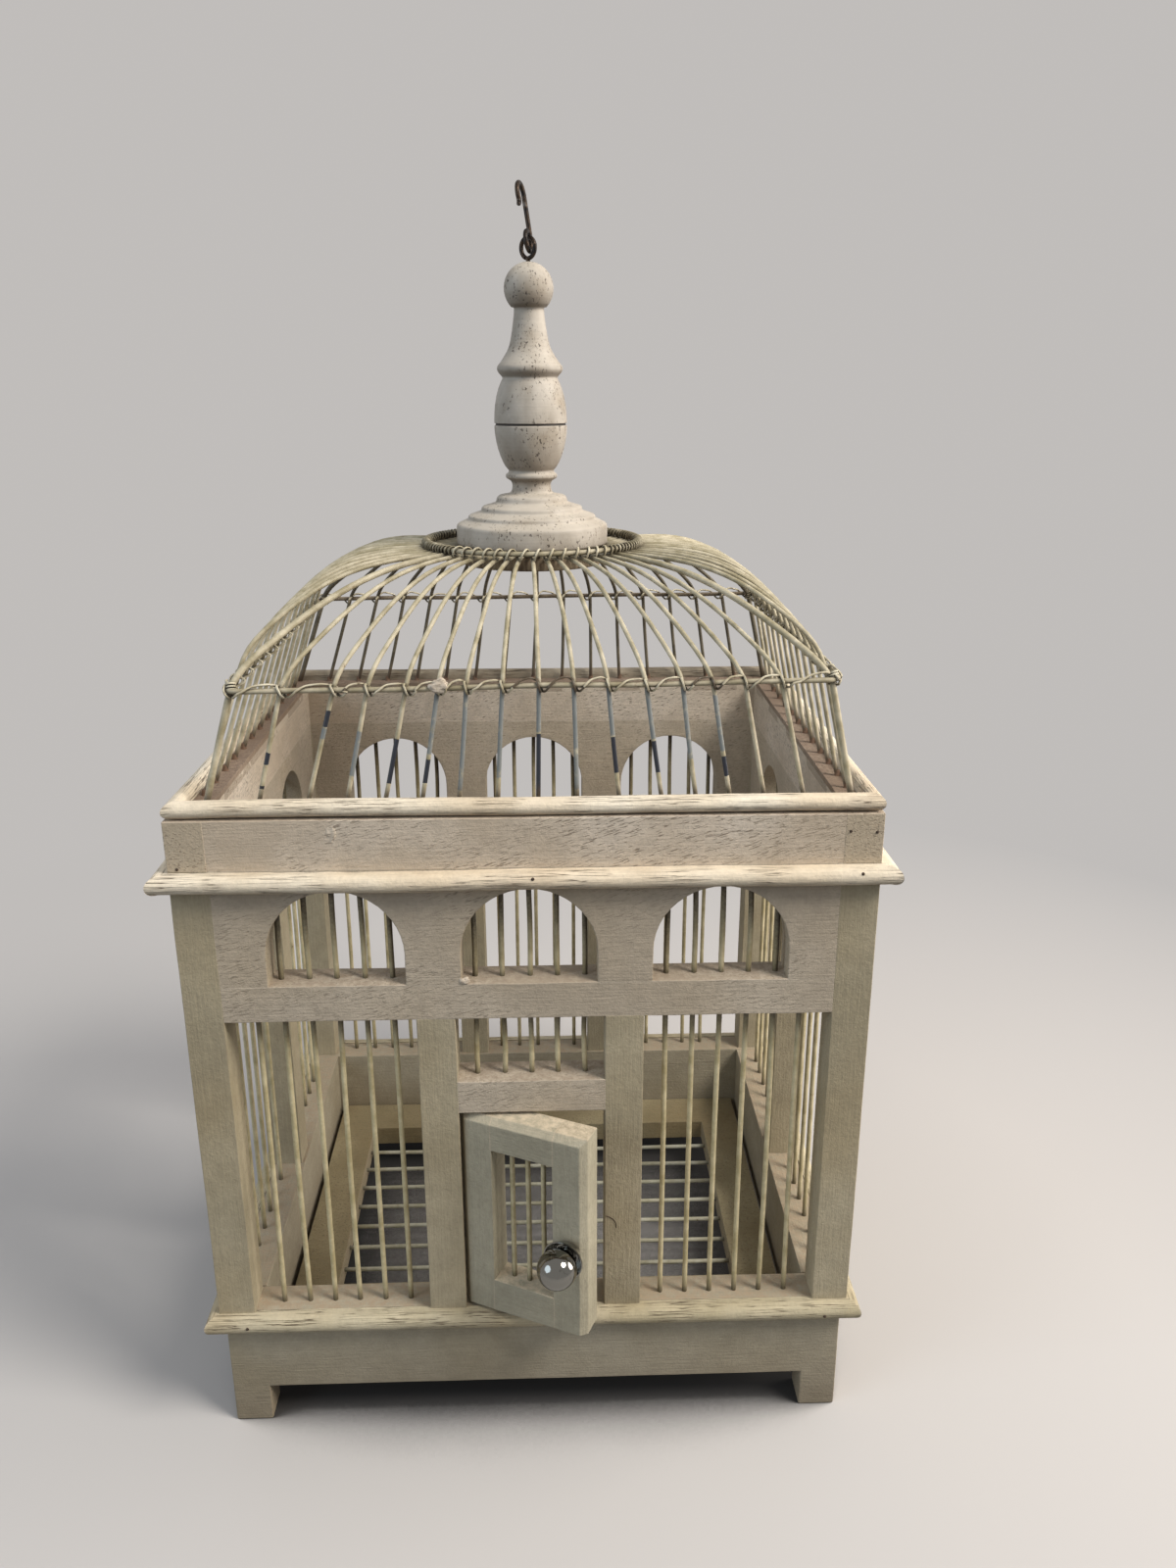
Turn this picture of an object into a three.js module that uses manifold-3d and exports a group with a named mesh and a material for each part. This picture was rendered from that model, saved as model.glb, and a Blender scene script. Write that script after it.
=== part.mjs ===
// Wood-and-wire bird cage: an arcaded wooden cabin with a hinged door, under a wire dome with a finial.
// Millimetres, +X to the right, +Y to the back, +Z up. The origin is mid-footprint, on the ground.
import * as THREE from 'three';
import { mergeVertices } from 'three/addons/utils/BufferGeometryUtils.js';
import Module from 'manifold-3d';

const wasm = await Module();
wasm.setup();

// Driving dimensions of the whole cage: the cabin's height is from the ground to the top of its cap moulding
const width = 300;
const depth = 250;
const cabinHeight = 321.8;
const gap = 0.3;
const overrun = 5;
const weld = 1e-4;
const full = Math.PI * 2;
const quarter = Math.PI / 2;
const quarterDegrees = 90;

const post = { size: 17 };
const apron = { high: 66, thick: 16.5, inset: 2, footWidth: 17.8, footHigh: 20 };
const floorPanel = {
  thick: 12, aboveFeet: 9, sideSlit: 2.5, sideMargin: 44, frontMargin: 62, backMargin: 46,
  wires: 7, wireRadius: 1.2, wireDrop: 6, wireHold: 3,
};
const rail = { high: 17, deep: 17 };
const stile = { wide: 17, doorHalf: 32.9 };
const lintel = { high: 16, belowRail: 31.6 };
const bar = {
  radius: 1.2, sides: 5, setback: 8, overDoorPitch: 12.05, bayCount: 6, bayFirst: 10.3, bayLast: 12.55,
  sideCount: 6, sideFirst: 14, sideLast: 17.5,
};
const arch = { high: 44, thick: 16.5, half: 29.5, woodAbove: 9.7, segments: 7 };
// How much of the board's wood between and beside its arches is in the pier between two of them
const frontPierShare = 0.27;
const sidePierShare = 0.245;
const baseMoulding = { high: 9, reach: 8, steps: 6 };
const cornice = { high: 8, reach: 7.7, steps: 6 };
// The frieze's top is stepped: the cap moulding lies on the outer step and the shelf holds the dome's wires
const frieze = { high: 22.5, thick: 16.5, shelfHigh: 2.3 };
const cap = { high: 7.6, wide: 7.3, outerRound: 4.5, innerRoundHigh: 3.6, quarterSteps: 3 };

const dome = {
  frontGaps: 16, sideGaps: 13, wireRadius: 1, wireSides: 5, wallHigh: 45.2, roofHigh: 43.2,
  footInset: 9.2, endLean: 13.8, faceLean: 3.8, seat: 5, holeDepth: 6, holeSides: 5,
  hoopX: 3.6, hoopCorner: 6, hoopRadius: 1.15, hoopSides: 6, hoopBite: 0.55, hoopCornerSteps: 3,
  crownX: 2.6, endRadius: 31,
};
// Where the front wires are, from the left, in shares of the dome's half width at their feet and at the hoop
const frontFootShares = [
  -0.962, -0.806, -0.663, -0.546, -0.433, -0.321, -0.208, -0.089, 0.033,
  0.151, 0.282, 0.411, 0.514, 0.618, 0.723, 0.843, 0.987,
];
const frontTieShares = [
  -1, -0.815, -0.645, -0.537, -0.413, -0.31, -0.219, -0.102, 0.016,
  0.129, 0.241, 0.365, 0.484, 0.584, 0.689, 0.811, 1,
];
// How far a dome wire has gone from the hoop to the crown at each of its points, and how round it bows
const domeStepShares = [0.07, 0.17, 0.31, 0.52, 1];
const domeBowPower = 4.6;

const crownRing = { radius: 51.5, wireRadius: 1.2, segments: 36, sides: 5 };
const crownDisc = { radius: 34.5, thick: 6.5, hole: 5.3, edge: 1 };
const binding = {
  wireRadius: 0.42, sides: 4, steps: 7, openSteps: 2, clear: 0.42, searchSteps: 4000,
};
// How much of a turn apart two points of one winding are before their distance counts
const apartShare = 3 / 4;

// Finial radii and heights above its own foot
const finial = {
  segments: 16, tenonRadius: 5, tenonLength: 8.6, drillDepth: 9,
  baseRadius: 36.4, baseHigh: 10, rimDrop: 1.5, stepRadius: 24.2, stepHigh: 17,
  ringRadius: 16.8, ringHigh: 23, neckRadius: 9.3, neckHigh: 26,
  collarRadius: 11.7, collarHigh: 32.5, waistRadius: 10.4, waistHigh: 34.5,
  barrelFoot: 12.2, barrelFootHigh: 36.5, barrelRadius: 17.2, barrelHigh: 54, barrelSteps: 3,
  grooveDepth: 0.8, grooveHigh: 57,
  shoulderRadius: 12.8, shoulderHigh: 76, shoulderSteps: 3, flareRadius: 15.2, flareHigh: 81, flareTop: 84,
  stemRadius: 7, stemHigh: 104.5, stemSteps: 3, stemPower: 1.6, ballRadius: 11.4, ballHigh: 115, ballSteps: 5,
};
const eye = { ringRadius: 4.4, wireRadius: 1, shank: 8, turn: -45, tubeSides: 6, segments: 14 };
const hook = {
  wireRadius: 1.1, sides: 6, loopRadius: 4.3, loopStart: 70, rest: 0.45, shank: 19.35,
  crookRadius: 5, crookEnd: 200, curlRadius: 2.1, curlEnd: -95, arcStep: 22, turn: 75, lean: 9,
};

const door = {
  sideGap: 1.5, sillGap: 1.4, lintelGap: 1.6, thick: 13.8, chamfer: 3,
  stileWide: 16.3, topRail: 16.3, bottomRail: 17.2, pivotIn: 6.5, openAngle: 25, bars: 3,
};
const pin = { radius: 1.1, hold: 8, segments: 8 };
const knob = {
  ballRadius: 9, ballOut: 13, stemRadius: 3, tenonRadius: 2, tenonLength: 8,
  high: 46, segments: 14, rings: 7,
};
const rose = { radius: 9.4, foot: 5.4, high: 6.6, wall: 1.1, segments: 16 };

// Paint and metal
const paint = {
  wood: { color: 0xb9b09c, roughness: 0.85, metalness: 0 },
  trim: { color: 0xcfc6ae, roughness: 0.8, metalness: 0 },
  panel: { color: 0xaea27f, roughness: 0.9, metalness: 0 },
  wire: { color: 0xb3ab86, roughness: 0.6, metalness: 0.1 },
  binding: { color: 0x9c9478, roughness: 0.6, metalness: 0.3 },
  turned: { color: 0xbfb7a3, roughness: 0.8, metalness: 0 },
  disc: { color: 0x8d8271, roughness: 0.9, metalness: 0 },
  steel: { color: 0x3a3632, roughness: 0.55, metalness: 0.8 },
  chrome: { color: 0xd8d8d6, roughness: 0.12, metalness: 1 },
};

// Heights from the ground: the boards over the mid rail hang from the cap moulding, the stiles take the rest
const level = (() => {
  const capTop = cabinHeight;
  const friezeTop = capTop - cap.high;
  const friezeBottom = friezeTop - frieze.high;
  const archTop = friezeBottom - arch.woodAbove;
  const railTop = archTop - arch.high;
  const railBottom = railTop - rail.high;
  const hoop = capTop + dome.wallHigh;
  return {
    footTop: apron.footHigh,
    floorTop: apron.footHigh + floorPanel.aboveFeet,
    apronTop: apron.high,
    lintelBottom: railBottom - lintel.belowRail - lintel.high,
    shelf: friezeTop + frieze.shelfHigh,
    crown: hoop + dome.roofHigh,
    railBottom, railTop, archTop, friezeBottom, friezeTop, capTop, hoop,
  };
})();

// Half sizes of the dome in plan, where its wires stand in the frieze and at its hoop
const domeBase = { x: width / 2 - dome.footInset, y: depth / 2 - dome.footInset };
const hoopHalf = { x: domeBase.x - dome.endLean, y: domeBase.y - dome.faceLean };

// A closed geometry as a solid: shared points are merged and triangles without area are left out
function solid(geometry) {
  const bare = geometry.clone();
  bare.deleteAttribute('normal');
  bare.deleteAttribute('uv');
  const merged = mergeVertices(bare, weld);
  const index = merged.index.array;
  const kept = [];
  for (let i = 0; i < index.length; i += 3) {
    const [a, b, c] = [index[i], index[i + 1], index[i + 2]];
    if (a !== b && b !== c && c !== a) kept.push(a, b, c);
  }
  return new wasm.Manifold(new wasm.Mesh({
    numProp: 3,
    vertProperties: new Float32Array(merged.attributes.position.array),
    triVerts: new Uint32Array(kept),
  }));
}

function geometryOf(body) {
  const mesh = body.getMesh();
  const geometry = new THREE.BufferGeometry();
  geometry.setAttribute('position', new THREE.BufferAttribute(new Float32Array(mesh.vertProperties), 3));
  geometry.setIndex(new THREE.BufferAttribute(new Uint32Array(mesh.triVerts), 1));
  geometry.computeVertexNormals();
  return geometry;
}

function piece(name, body, look) {
  const mesh = new THREE.Mesh(geometryOf(body), new THREE.MeshStandardMaterial(paint[look]));
  mesh.name = name;
  return mesh;
}

function block(x0, x1, y0, y1, z0, z1) {
  const geometry = new THREE.BoxGeometry(x1 - x0, y1 - y0, z1 - z0);
  geometry.translate((x0 + x1) / 2, (y0 + y1) / 2, (z0 + z1) / 2);
  return solid(geometry);
}

function rod(radius, sides, x, y, z0, z1) {
  const geometry = new THREE.CylinderGeometry(radius, radius, z1 - z0, sides);
  geometry.rotateX(quarter);
  geometry.translate(x, y, (z0 + z1) / 2);
  return solid(geometry);
}

function turned(points, segments) {
  const geometry = new THREE.LatheGeometry(points.map(([r, z]) => new THREE.Vector2(r, z)), segments);
  geometry.rotateX(quarter);
  return geometry;
}

// A wire along straight runs between points, closed at both ends
function wireSolid(points, radius, sides) {
  const section = new THREE.Shape();
  for (let i = 0; i < sides; i += 1) {
    const angle = (i * full) / sides;
    const [x, y] = [radius * Math.cos(angle), radius * Math.sin(angle)];
    if (i === 0) section.moveTo(x, y);
    else section.lineTo(x, y);
  }
  const path = new PolyPath(points);
  return solid(new THREE.ExtrudeGeometry(section, {
    steps: points.length - 1, bevelEnabled: false, extrudePath: path,
  }));
}

// A path whose equal steps land on the given points
class PolyPath extends THREE.Curve {
  constructor(points) {
    super();
    this.points = points;
  }

  getPoint(t, target = new THREE.Vector3()) {
    const last = this.points.length - 1;
    const at = Math.min(t * last, last);
    const from = Math.min(Math.floor(at), last - 1);
    return target.copy(this.points[from]).lerp(this.points[from + 1], at - from);
  }

  getPointAt(t, target) {
    return this.getPoint(t, target);
  }

  getTangent(t, target = new THREE.Vector3()) {
    const last = this.points.length - 1;
    const at = Math.round(t * last);
    const before = this.points[Math.max(at - 1, 0)];
    const after = this.points[Math.min(at + 1, last)];
    return target.copy(after).sub(before).normalize();
  }

  getTangentAt(t, target) {
    return this.getTangent(t, target);
  }
}

// Turns a front piece into the same piece of another side: 0 front, 1 right, 2 back, 3 left
function facing(body, side) {
  return body.rotate([0, 0, side * quarterDegrees]);
}

const sides = [
  { name: 'front', turn: 0, half: width / 2, out: depth / 2 },
  { name: 'right', turn: 1, half: depth / 2, out: width / 2 },
  { name: 'back', turn: 2, half: width / 2, out: depth / 2 },
  { name: 'left', turn: 3, half: depth / 2, out: width / 2 },
];
const isLong = (side) => side.turn % 2 === 0;

const corners = [
  ['front_left', -1, -1],
  ['front_right', 1, -1],
  ['back_left', -1, 1],
  ['back_right', 1, 1],
];

function cornerPosts() {
  const made = [];
  const [bottom, top] = [level.apronTop + gap, level.friezeBottom - gap];
  for (const [name, sx, sy] of corners) {
    const x = sx * (width - post.size) / 2;
    const y = sy * (depth - post.size) / 2;
    const half = post.size / 2;
    const body = block(x - half, x + half, y - half, y + half, bottom, top);
    made.push(piece(`${name}_post`, body, 'wood'));
  }
  return made;
}

// The long aprons keep a foot at each end; the short ones fill in between them
function aprons(cuts) {
  return sides.map((side) => {
    const face = side.out - apron.inset;
    const half = side.half - apron.inset;
    if (!isLong(side)) {
      const inner = half - apron.thick - gap;
      const body = block(-inner, inner, -face, -face + apron.thick, level.footTop, level.apronTop);
      return piece(`${side.name}_apron`, facing(body, side.turn), 'wood');
    }
    const board = block(-half, half, -face, -face + apron.thick, 0, level.apronTop);
    const clear = half - apron.footWidth;
    const [front, back] = [-face - overrun, -face + apron.thick + overrun];
    let body = board.subtract(block(-clear, clear, front, back, -overrun, level.footTop));
    if (side.turn === 0) body = body.subtract(cuts);
    return piece(`${side.name}_apron`, facing(body, side.turn), 'wood');
  });
}

// A strip with mitred ends: the outline's x is its reach out of the inner face, its y the height
function mitredStrip(outline, innerHalf, innerFace, z) {
  const shape = new THREE.Shape(outline.map(([out, up]) => new THREE.Vector2(out, up)));
  const geometry = new THREE.ExtrudeGeometry(shape, { depth: 1, bevelEnabled: false });
  const at = geometry.attributes.position;
  for (let i = 0; i < at.count; i += 1) {
    const out = at.getX(i);
    const end = at.getZ(i) > 0 ? -1 : 1;
    const height = at.getY(i);
    at.setXYZ(i, end * (innerHalf + out - gap / 2), -innerFace - out, z + height);
  }
  return solid(geometry);
}

function halfRound(reach, high, steps) {
  const points = [[0, 0]];
  for (let i = 0; i <= steps; i += 1) {
    const angle = -quarter + (i * Math.PI) / steps;
    points.push([reach - high / 2 + (high / 2) * Math.cos(angle), high / 2 + (high / 2) * Math.sin(angle)]);
  }
  points.push([0, high]);
  return points;
}

function baseMouldings() {
  const outline = halfRound(baseMoulding.reach - gap, baseMoulding.high, baseMoulding.steps);
  return sides.map((side) => {
    const half = side.half - apron.inset + gap;
    const face = side.out - apron.inset + gap;
    const body = mitredStrip(outline, half, face, level.apronTop - baseMoulding.high);
    return piece(`${side.name}_base_moulding`, facing(body, side.turn), 'trim');
  });
}

function corniceMouldings() {
  const outline = halfRound(cornice.reach - gap, cornice.high, cornice.steps);
  return sides.map((side) => {
    const body = mitredStrip(outline, side.half + gap, side.out + gap, level.friezeBottom - cornice.high);
    return piece(`${side.name}_cornice`, facing(body, side.turn), 'trim');
  });
}

// The side boards run from face to face and the long ones fit between them
function friezeBoards(holes) {
  const stepBack = cap.wide + gap;
  return sides.map((side) => {
    const half = isLong(side) ? side.half - frieze.thick - gap : side.half;
    const shelfHalf = isLong(side) ? half : side.half - stepBack;
    const [outer, inner] = [-side.out, -side.out + frieze.thick];
    const lower = block(-half, half, outer, inner, level.friezeBottom, level.friezeTop);
    const upper = block(-shelfHalf, shelfHalf, outer + stepBack, inner, level.friezeBottom, level.shelf);
    const body = facing(lower.add(upper), side.turn).subtract(holes);
    return piece(`${side.name}_frieze`, body, 'wood');
  });
}

// A bead with a full outer side: its crest stands over the outer round's middle and drops steeply inside
function capBoards() {
  const bottom = level.friezeTop + gap;
  const high = level.capTop - bottom;
  const crest = cap.wide - cap.outerRound;
  const outline = [[0, 0], [crest, 0]];
  for (let i = 1; i <= cap.quarterSteps * 2; i += 1) {
    const angle = -quarter + (i * quarter) / cap.quarterSteps;
    outline.push([crest + cap.outerRound * Math.cos(angle), (high / 2) * (1 + Math.sin(angle))]);
  }
  for (let i = 1; i <= cap.quarterSteps; i += 1) {
    const angle = quarter + (i * quarter) / cap.quarterSteps;
    outline.push([crest * (1 + Math.cos(angle)), high - cap.innerRoundHigh * (1 - Math.sin(angle))]);
  }
  return sides.map((side) => {
    const body = mitredStrip(outline, side.half - cap.wide, side.out - cap.wide, bottom);
    return piece(`${side.name}_cap_board`, facing(body, side.turn), 'trim');
  });
}

function floorWithWires() {
  const halfX = width / 2 - apron.inset - apron.thick - floorPanel.sideSlit;
  const halfY = depth / 2 - apron.inset - apron.thick - gap;
  const bottom = level.floorTop - floorPanel.thick;
  const openHalf = width / 2 - floorPanel.sideMargin;
  const [openFront, openBack] = [-depth / 2 + floorPanel.frontMargin, depth / 2 - floorPanel.backMargin];
  let body = block(-halfX, halfX, -halfY, halfY, bottom, level.floorTop);
  body = body.subtract(block(
    -openHalf, openHalf, openFront, openBack, bottom - overrun, level.floorTop + overrun));
  const pitch = (openBack - openFront) / (floorPanel.wires + 1);
  const reach = openHalf + floorPanel.wireHold;
  for (let i = 1; i <= floorPanel.wires; i += 1) {
    const y = openFront + i * pitch;
    const z = level.floorTop - floorPanel.wireDrop;
    const ends = [new THREE.Vector3(-reach, y, z), new THREE.Vector3(reach, y, z)];
    body = body.add(wireSolid(ends, floorPanel.wireRadius, bar.sides));
  }
  return [piece('floor_panel', body, 'panel')];
}

// The long boards have three arches and the short ones two
function archCentres(side) {
  const count = isLong(side) ? 3 : 2;
  const wood = 2 * (side.half - post.size) - 2 * count * arch.half;
  const pier = wood * (isLong(side) ? frontPierShare : sidePierShare);
  const pitch = 2 * arch.half + pier;
  return isLong(side) ? [-pitch, 0, pitch] : [-pitch / 2, pitch / 2];
}

// The upright prism that an arch opens, less a margin
function archVoid(centre, margin, side) {
  const radius = arch.half - margin;
  const shape = new THREE.Shape();
  const spring = level.archTop - arch.half;
  shape.moveTo(centre - radius, level.railTop - overrun);
  shape.lineTo(centre + radius, level.railTop - overrun);
  shape.lineTo(centre + radius, spring);
  shape.absarc(centre, spring, radius, 0, Math.PI, false);
  shape.closePath();
  const geometry = new THREE.ExtrudeGeometry(shape, {
    depth: arch.thick + 2 * overrun, bevelEnabled: false, curveSegments: arch.segments * 2,
  });
  geometry.rotateX(quarter);
  geometry.translate(0, -side.out + arch.thick + overrun, 0);
  return solid(geometry);
}

function archBoards() {
  return sides.map((side) => {
    const half = side.half - post.size - gap;
    const [bottom, top] = [level.railTop + gap, level.friezeBottom - gap];
    let body = block(-half, half, -side.out, -side.out + arch.thick, bottom, top);
    for (const centre of archCentres(side)) body = body.subtract(archVoid(centre, 0, side));
    return piece(`${side.name}_arch_board`, facing(body, side.turn), 'wood');
  });
}

// The bars of a wall: even steps in each bay from stile to post, and five over the door
function barPlaces(side) {
  const places = [];
  const postFace = side.half - post.size;
  const [count, first, last] = isLong(side)
    ? [bar.bayCount, stile.doorHalf + stile.wide + bar.bayFirst, postFace - bar.bayLast]
    : [bar.sideCount, stile.wide / 2 + bar.sideFirst, postFace - bar.sideLast];
  for (let i = 0; i < count; i += 1) {
    const x = first + ((last - first) * i) / (count - 1);
    places.push(x, -x);
  }
  if (isLong(side)) {
    for (let i = -2; i <= 2; i += 1) places.push(i * bar.overDoorPitch);
  }
  return places;
}

// A mid rail with its wall's bars, which stand on the apron or the lintel and end in the arches
function barredRails() {
  return sides.map((side) => {
    const half = side.half - post.size - gap;
    const y = -side.out + bar.setback;
    let body = block(-half, half, -side.out, -side.out + rail.deep, level.railBottom, level.railTop);
    const voids = archCentres(side).map((centre) => archVoid(centre, gap, side));
    for (const x of barPlaces(side)) {
      const overDoor = side.turn === 0 && Math.abs(x) < stile.doorHalf;
      const foot = (overDoor ? level.lintelBottom + lintel.high : level.apronTop) + gap;
      body = body.add(rod(bar.radius, bar.sides, x, y, foot, level.railBottom + overrun));
      archCentres(side).forEach((centre, i) => {
        if (Math.abs(x - centre) + bar.radius > arch.half) return;
        const upper = rod(bar.radius, bar.sides, x, y, level.railTop - overrun, level.archTop + overrun);
        body = body.add(upper.intersect(voids[i]));
      });
    }
    return piece(`${side.name}_rail_and_bars`, facing(body, side.turn), 'wood');
  });
}

function stiles() {
  const made = [];
  const [z0, z1] = [level.apronTop + gap, level.railBottom - gap];
  for (const side of sides) {
    const places = isLong(side)
      ? [['left', -stile.doorHalf - stile.wide / 2], ['right', stile.doorHalf + stile.wide / 2]]
      : [['', 0]];
    for (const [hand, x] of places) {
      const half = stile.wide / 2;
      const body = block(x - half, x + half, -side.out, -side.out + rail.deep, z0, z1);
      const seenHand = side.turn === 2 ? { left: 'right', right: 'left' }[hand] : hand;
      const name = hand ? `${side.name}_${seenHand}_stile` : `${side.name}_stile`;
      made.push(piece(name, facing(body, side.turn), 'wood'));
    }
  }
  return made;
}

function doorLintel(cuts) {
  const half = stile.doorHalf - gap;
  const top = level.lintelBottom + lintel.high;
  const body = block(-half, half, -depth / 2, -depth / 2 + rail.deep, level.lintelBottom, top);
  return [piece('door_lintel', body.subtract(cuts), 'wood')];
}

// The hoop's line in plan from its length along the outline, starting at the back's middle, going round
const hoopLine = (() => {
  const [hx, hy, corner, middle] = [hoopHalf.x, hoopHalf.y, dome.hoopCorner, dome.hoopX];
  const [lx, ly] = [2 * (hx - corner), 2 * (hy - corner)];
  const arc = quarter * corner;
  const runs = [
    { long: lx / 2, from: [0, hy], way: [-1, 0] },
    { long: arc, centre: [-hx + corner, hy - corner], start: quarter },
    { long: ly, from: [-hx, hy - corner], way: [0, -1] },
    { long: arc, centre: [-hx + corner, -hy + corner], start: Math.PI },
    { long: lx, from: [-hx + corner, -hy], way: [1, 0] },
    { long: arc, centre: [hx - corner, -hy + corner], start: Math.PI + quarter },
    { long: ly, from: [hx, -hy + corner], way: [0, 1] },
    { long: arc, centre: [hx - corner, hy - corner], start: 0 },
    { long: lx / 2, from: [hx - corner, hy], way: [-1, 0] },
  ];
  const total = runs.reduce((sum, run) => sum + run.long, 0);
  // Gives the point and the way out of the dome at a length along the line
  const at = (length) => {
    let left = ((length % total) + total) % total;
    for (const run of runs) {
      if (left <= run.long) {
        if (run.centre) {
          const angle = run.start + left / corner;
          const out = [Math.cos(angle), Math.sin(angle)];
          return { x: middle + run.centre[0] + corner * out[0], y: run.centre[1] + corner * out[1], out };
        }
        const out = [-run.way[1], run.way[0]].map((value) => -value);
        return { x: middle + run.from[0] + run.way[0] * left, y: run.from[1] + run.way[1] * left, out };
      }
      left -= run.long;
    }
    return { x: middle, y: hy, out: [0, 1] };
  };
  return { at, total };
})();

// Every dome wire in order from the back left corner: its side, foot, tie at the hoop and end at the crown
const domeWires = (() => {
  const inward = dome.wireRadius + dome.hoopRadius - dome.hoopBite;
  const bow = 1 - Math.SQRT1_2;
  const cornerIn = dome.hoopCorner * bow + inward * Math.SQRT1_2;
  const tieX = hoopHalf.x - cornerIn;
  const tieY = hoopHalf.y - cornerIn;
  const count = 2 * (dome.frontGaps + dome.sideGaps);
  const order = [
    { side: 'left', gaps: dome.sideGaps, from: [-1, 1], to: [-1, -1], corners: false },
    { side: 'front', gaps: dome.frontGaps, from: [-1, -1], to: [1, -1], corners: true },
    { side: 'right', gaps: dome.sideGaps, from: [1, -1], to: [1, 1], corners: false },
    { side: 'back', gaps: dome.frontGaps, from: [1, 1], to: [-1, 1], corners: true },
  ];
  const made = [];
  let place = 0;
  const first = Math.PI - (dome.sideGaps / 2 / count) * full;
  for (const run of order) {
    for (let i = run.corners ? 0 : 1; i <= (run.corners ? run.gaps : run.gaps - 1); i += 1) {
      const share = i / run.gaps;
      const sx = run.from[0] + (run.to[0] - run.from[0]) * share;
      const sy = run.from[1] + (run.to[1] - run.from[1]) * share;
      const isCorner = i === 0 || i === run.gaps;
      const isFront = run.side === 'front';
      const hoopX = isCorner || run.corners ? tieX : hoopHalf.x - inward;
      const hoopY = isCorner || !run.corners ? tieY : hoopHalf.y - inward;
      const tieAt = isFront && !isCorner ? frontTieShares[i] * hoopHalf.x : sx * hoopX;
      const angle = first + ((place + i) / count) * full;
      made.push({
        side: run.side,
        foot: [(isFront ? frontFootShares[i] : sx) * domeBase.x, sy * domeBase.y],
        tie: [dome.hoopX + tieAt, sy * hoopY],
        crown: [dome.crownX + dome.endRadius * Math.cos(angle), dome.endRadius * Math.sin(angle)],
        angle,
      });
    }
    place += run.gaps;
  }
  return made;
})();

function domeWireSolid(wire) {
  const { foot, tie, crown } = wire;
  const points = [
    new THREE.Vector3(foot[0], foot[1], level.shelf - dome.seat),
    new THREE.Vector3(tie[0], tie[1], level.hoop),
  ];
  for (const share of domeStepShares) {
    const rise = 1 - (1 - share) ** domeBowPower;
    points.push(new THREE.Vector3(
      tie[0] + (crown[0] - tie[0]) * share,
      tie[1] + (crown[1] - tie[1]) * share,
      level.hoop + (level.crown - level.hoop) * rise,
    ));
  }
  return wireSolid(points, dome.wireRadius, dome.wireSides);
}

function domeHoles() {
  const holes = domeWires.map(({ foot, tie }) => {
    const rise = level.hoop - level.shelf + dome.seat;
    const [dx, dy] = [(tie[0] - foot[0]) / rise, (tie[1] - foot[1]) / rise];
    const deep = dome.holeDepth;
    const bottom = new THREE.Vector3(
      foot[0] + dx * (dome.seat - deep), foot[1] + dy * (dome.seat - deep), level.shelf - deep);
    const top = new THREE.Vector3(
      foot[0] + dx * (dome.seat + overrun), foot[1] + dy * (dome.seat + overrun), level.shelf + overrun);
    return wireSolid([bottom, top], dome.wireRadius + gap, dome.holeSides);
  });
  return wasm.Manifold.union(holes);
}

// The hoop's length on one side: those in front and at the back turn both corners
function hoopLength(name) {
  const [hx, hy, corner] = [hoopHalf.x, hoopHalf.y, dome.hoopCorner];
  const points = [];
  if (name === 'left' || name === 'right') {
    const x = dome.hoopX + (name === 'left' ? -hx : hx);
    const reach = hy - corner - gap;
    points.push(new THREE.Vector3(x, -reach, level.hoop), new THREE.Vector3(x, reach, level.hoop));
  } else {
    const turns = dome.hoopCornerSteps;
    const way = name === 'front' ? -1 : 1;
    for (const end of [-1, 1]) {
      for (let i = 0; i <= turns; i += 1) {
        const share = end === -1 ? i / turns : 1 - i / turns;
        const angle = share * quarter;
        points.push(new THREE.Vector3(
          dome.hoopX + end * (hx - corner + corner * Math.cos(angle)),
          way * (hy - corner + corner * Math.sin(angle)),
          level.hoop,
        ));
      }
    }
  }
  return wireSolid(points, dome.hoopRadius, dome.hoopSides);
}

function domeSides() {
  return sides.map((side) => {
    const parts = domeWires.filter((wire) => wire.side === side.name).map(domeWireSolid);
    parts.push(hoopLength(side.name));
    return piece(`dome_${side.name}_wires`, wasm.Manifold.union(parts), 'wire');
  });
}

// A wire wound as one open helix round a line: turnsAt gives how many turns are done at each step
function winding(line, ringRadius, steps, turnsAt) {
  const coil = ringRadius + binding.wireRadius + binding.clear;
  const centres = [];
  const rings = [];
  for (let i = 0; i <= steps; i += 1) {
    const { point, out } = line(i / steps);
    const turn = turnsAt(i / steps) * full;
    centres.push(point.clone()
      .addScaledVector(out, coil * Math.cos(turn))
      .addScaledVector(new THREE.Vector3(0, 0, 1), coil * Math.sin(turn)));
  }
  const up = new THREE.Vector3();
  const side = new THREE.Vector3();
  const way = new THREE.Vector3();
  centres.forEach((centre, i) => {
    const before = centres[Math.max(i - 1, 0)];
    const after = centres[Math.min(i + 1, centres.length - 1)];
    way.copy(after).sub(before).normalize();
    const { point } = line(i / steps);
    up.copy(centre).sub(point).normalize();
    side.crossVectors(way, up).normalize();
    up.crossVectors(side, way).normalize();
    const ring = [];
    for (let k = 0; k < binding.sides; k += 1) {
      const angle = (k * full) / binding.sides;
      ring.push(centre.clone()
        .addScaledVector(up, binding.wireRadius * Math.cos(angle))
        .addScaledVector(side, binding.wireRadius * Math.sin(angle)));
    }
    rings.push(ring);
  });
  return { centres, geometry: tubeOf(rings) };
}

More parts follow.
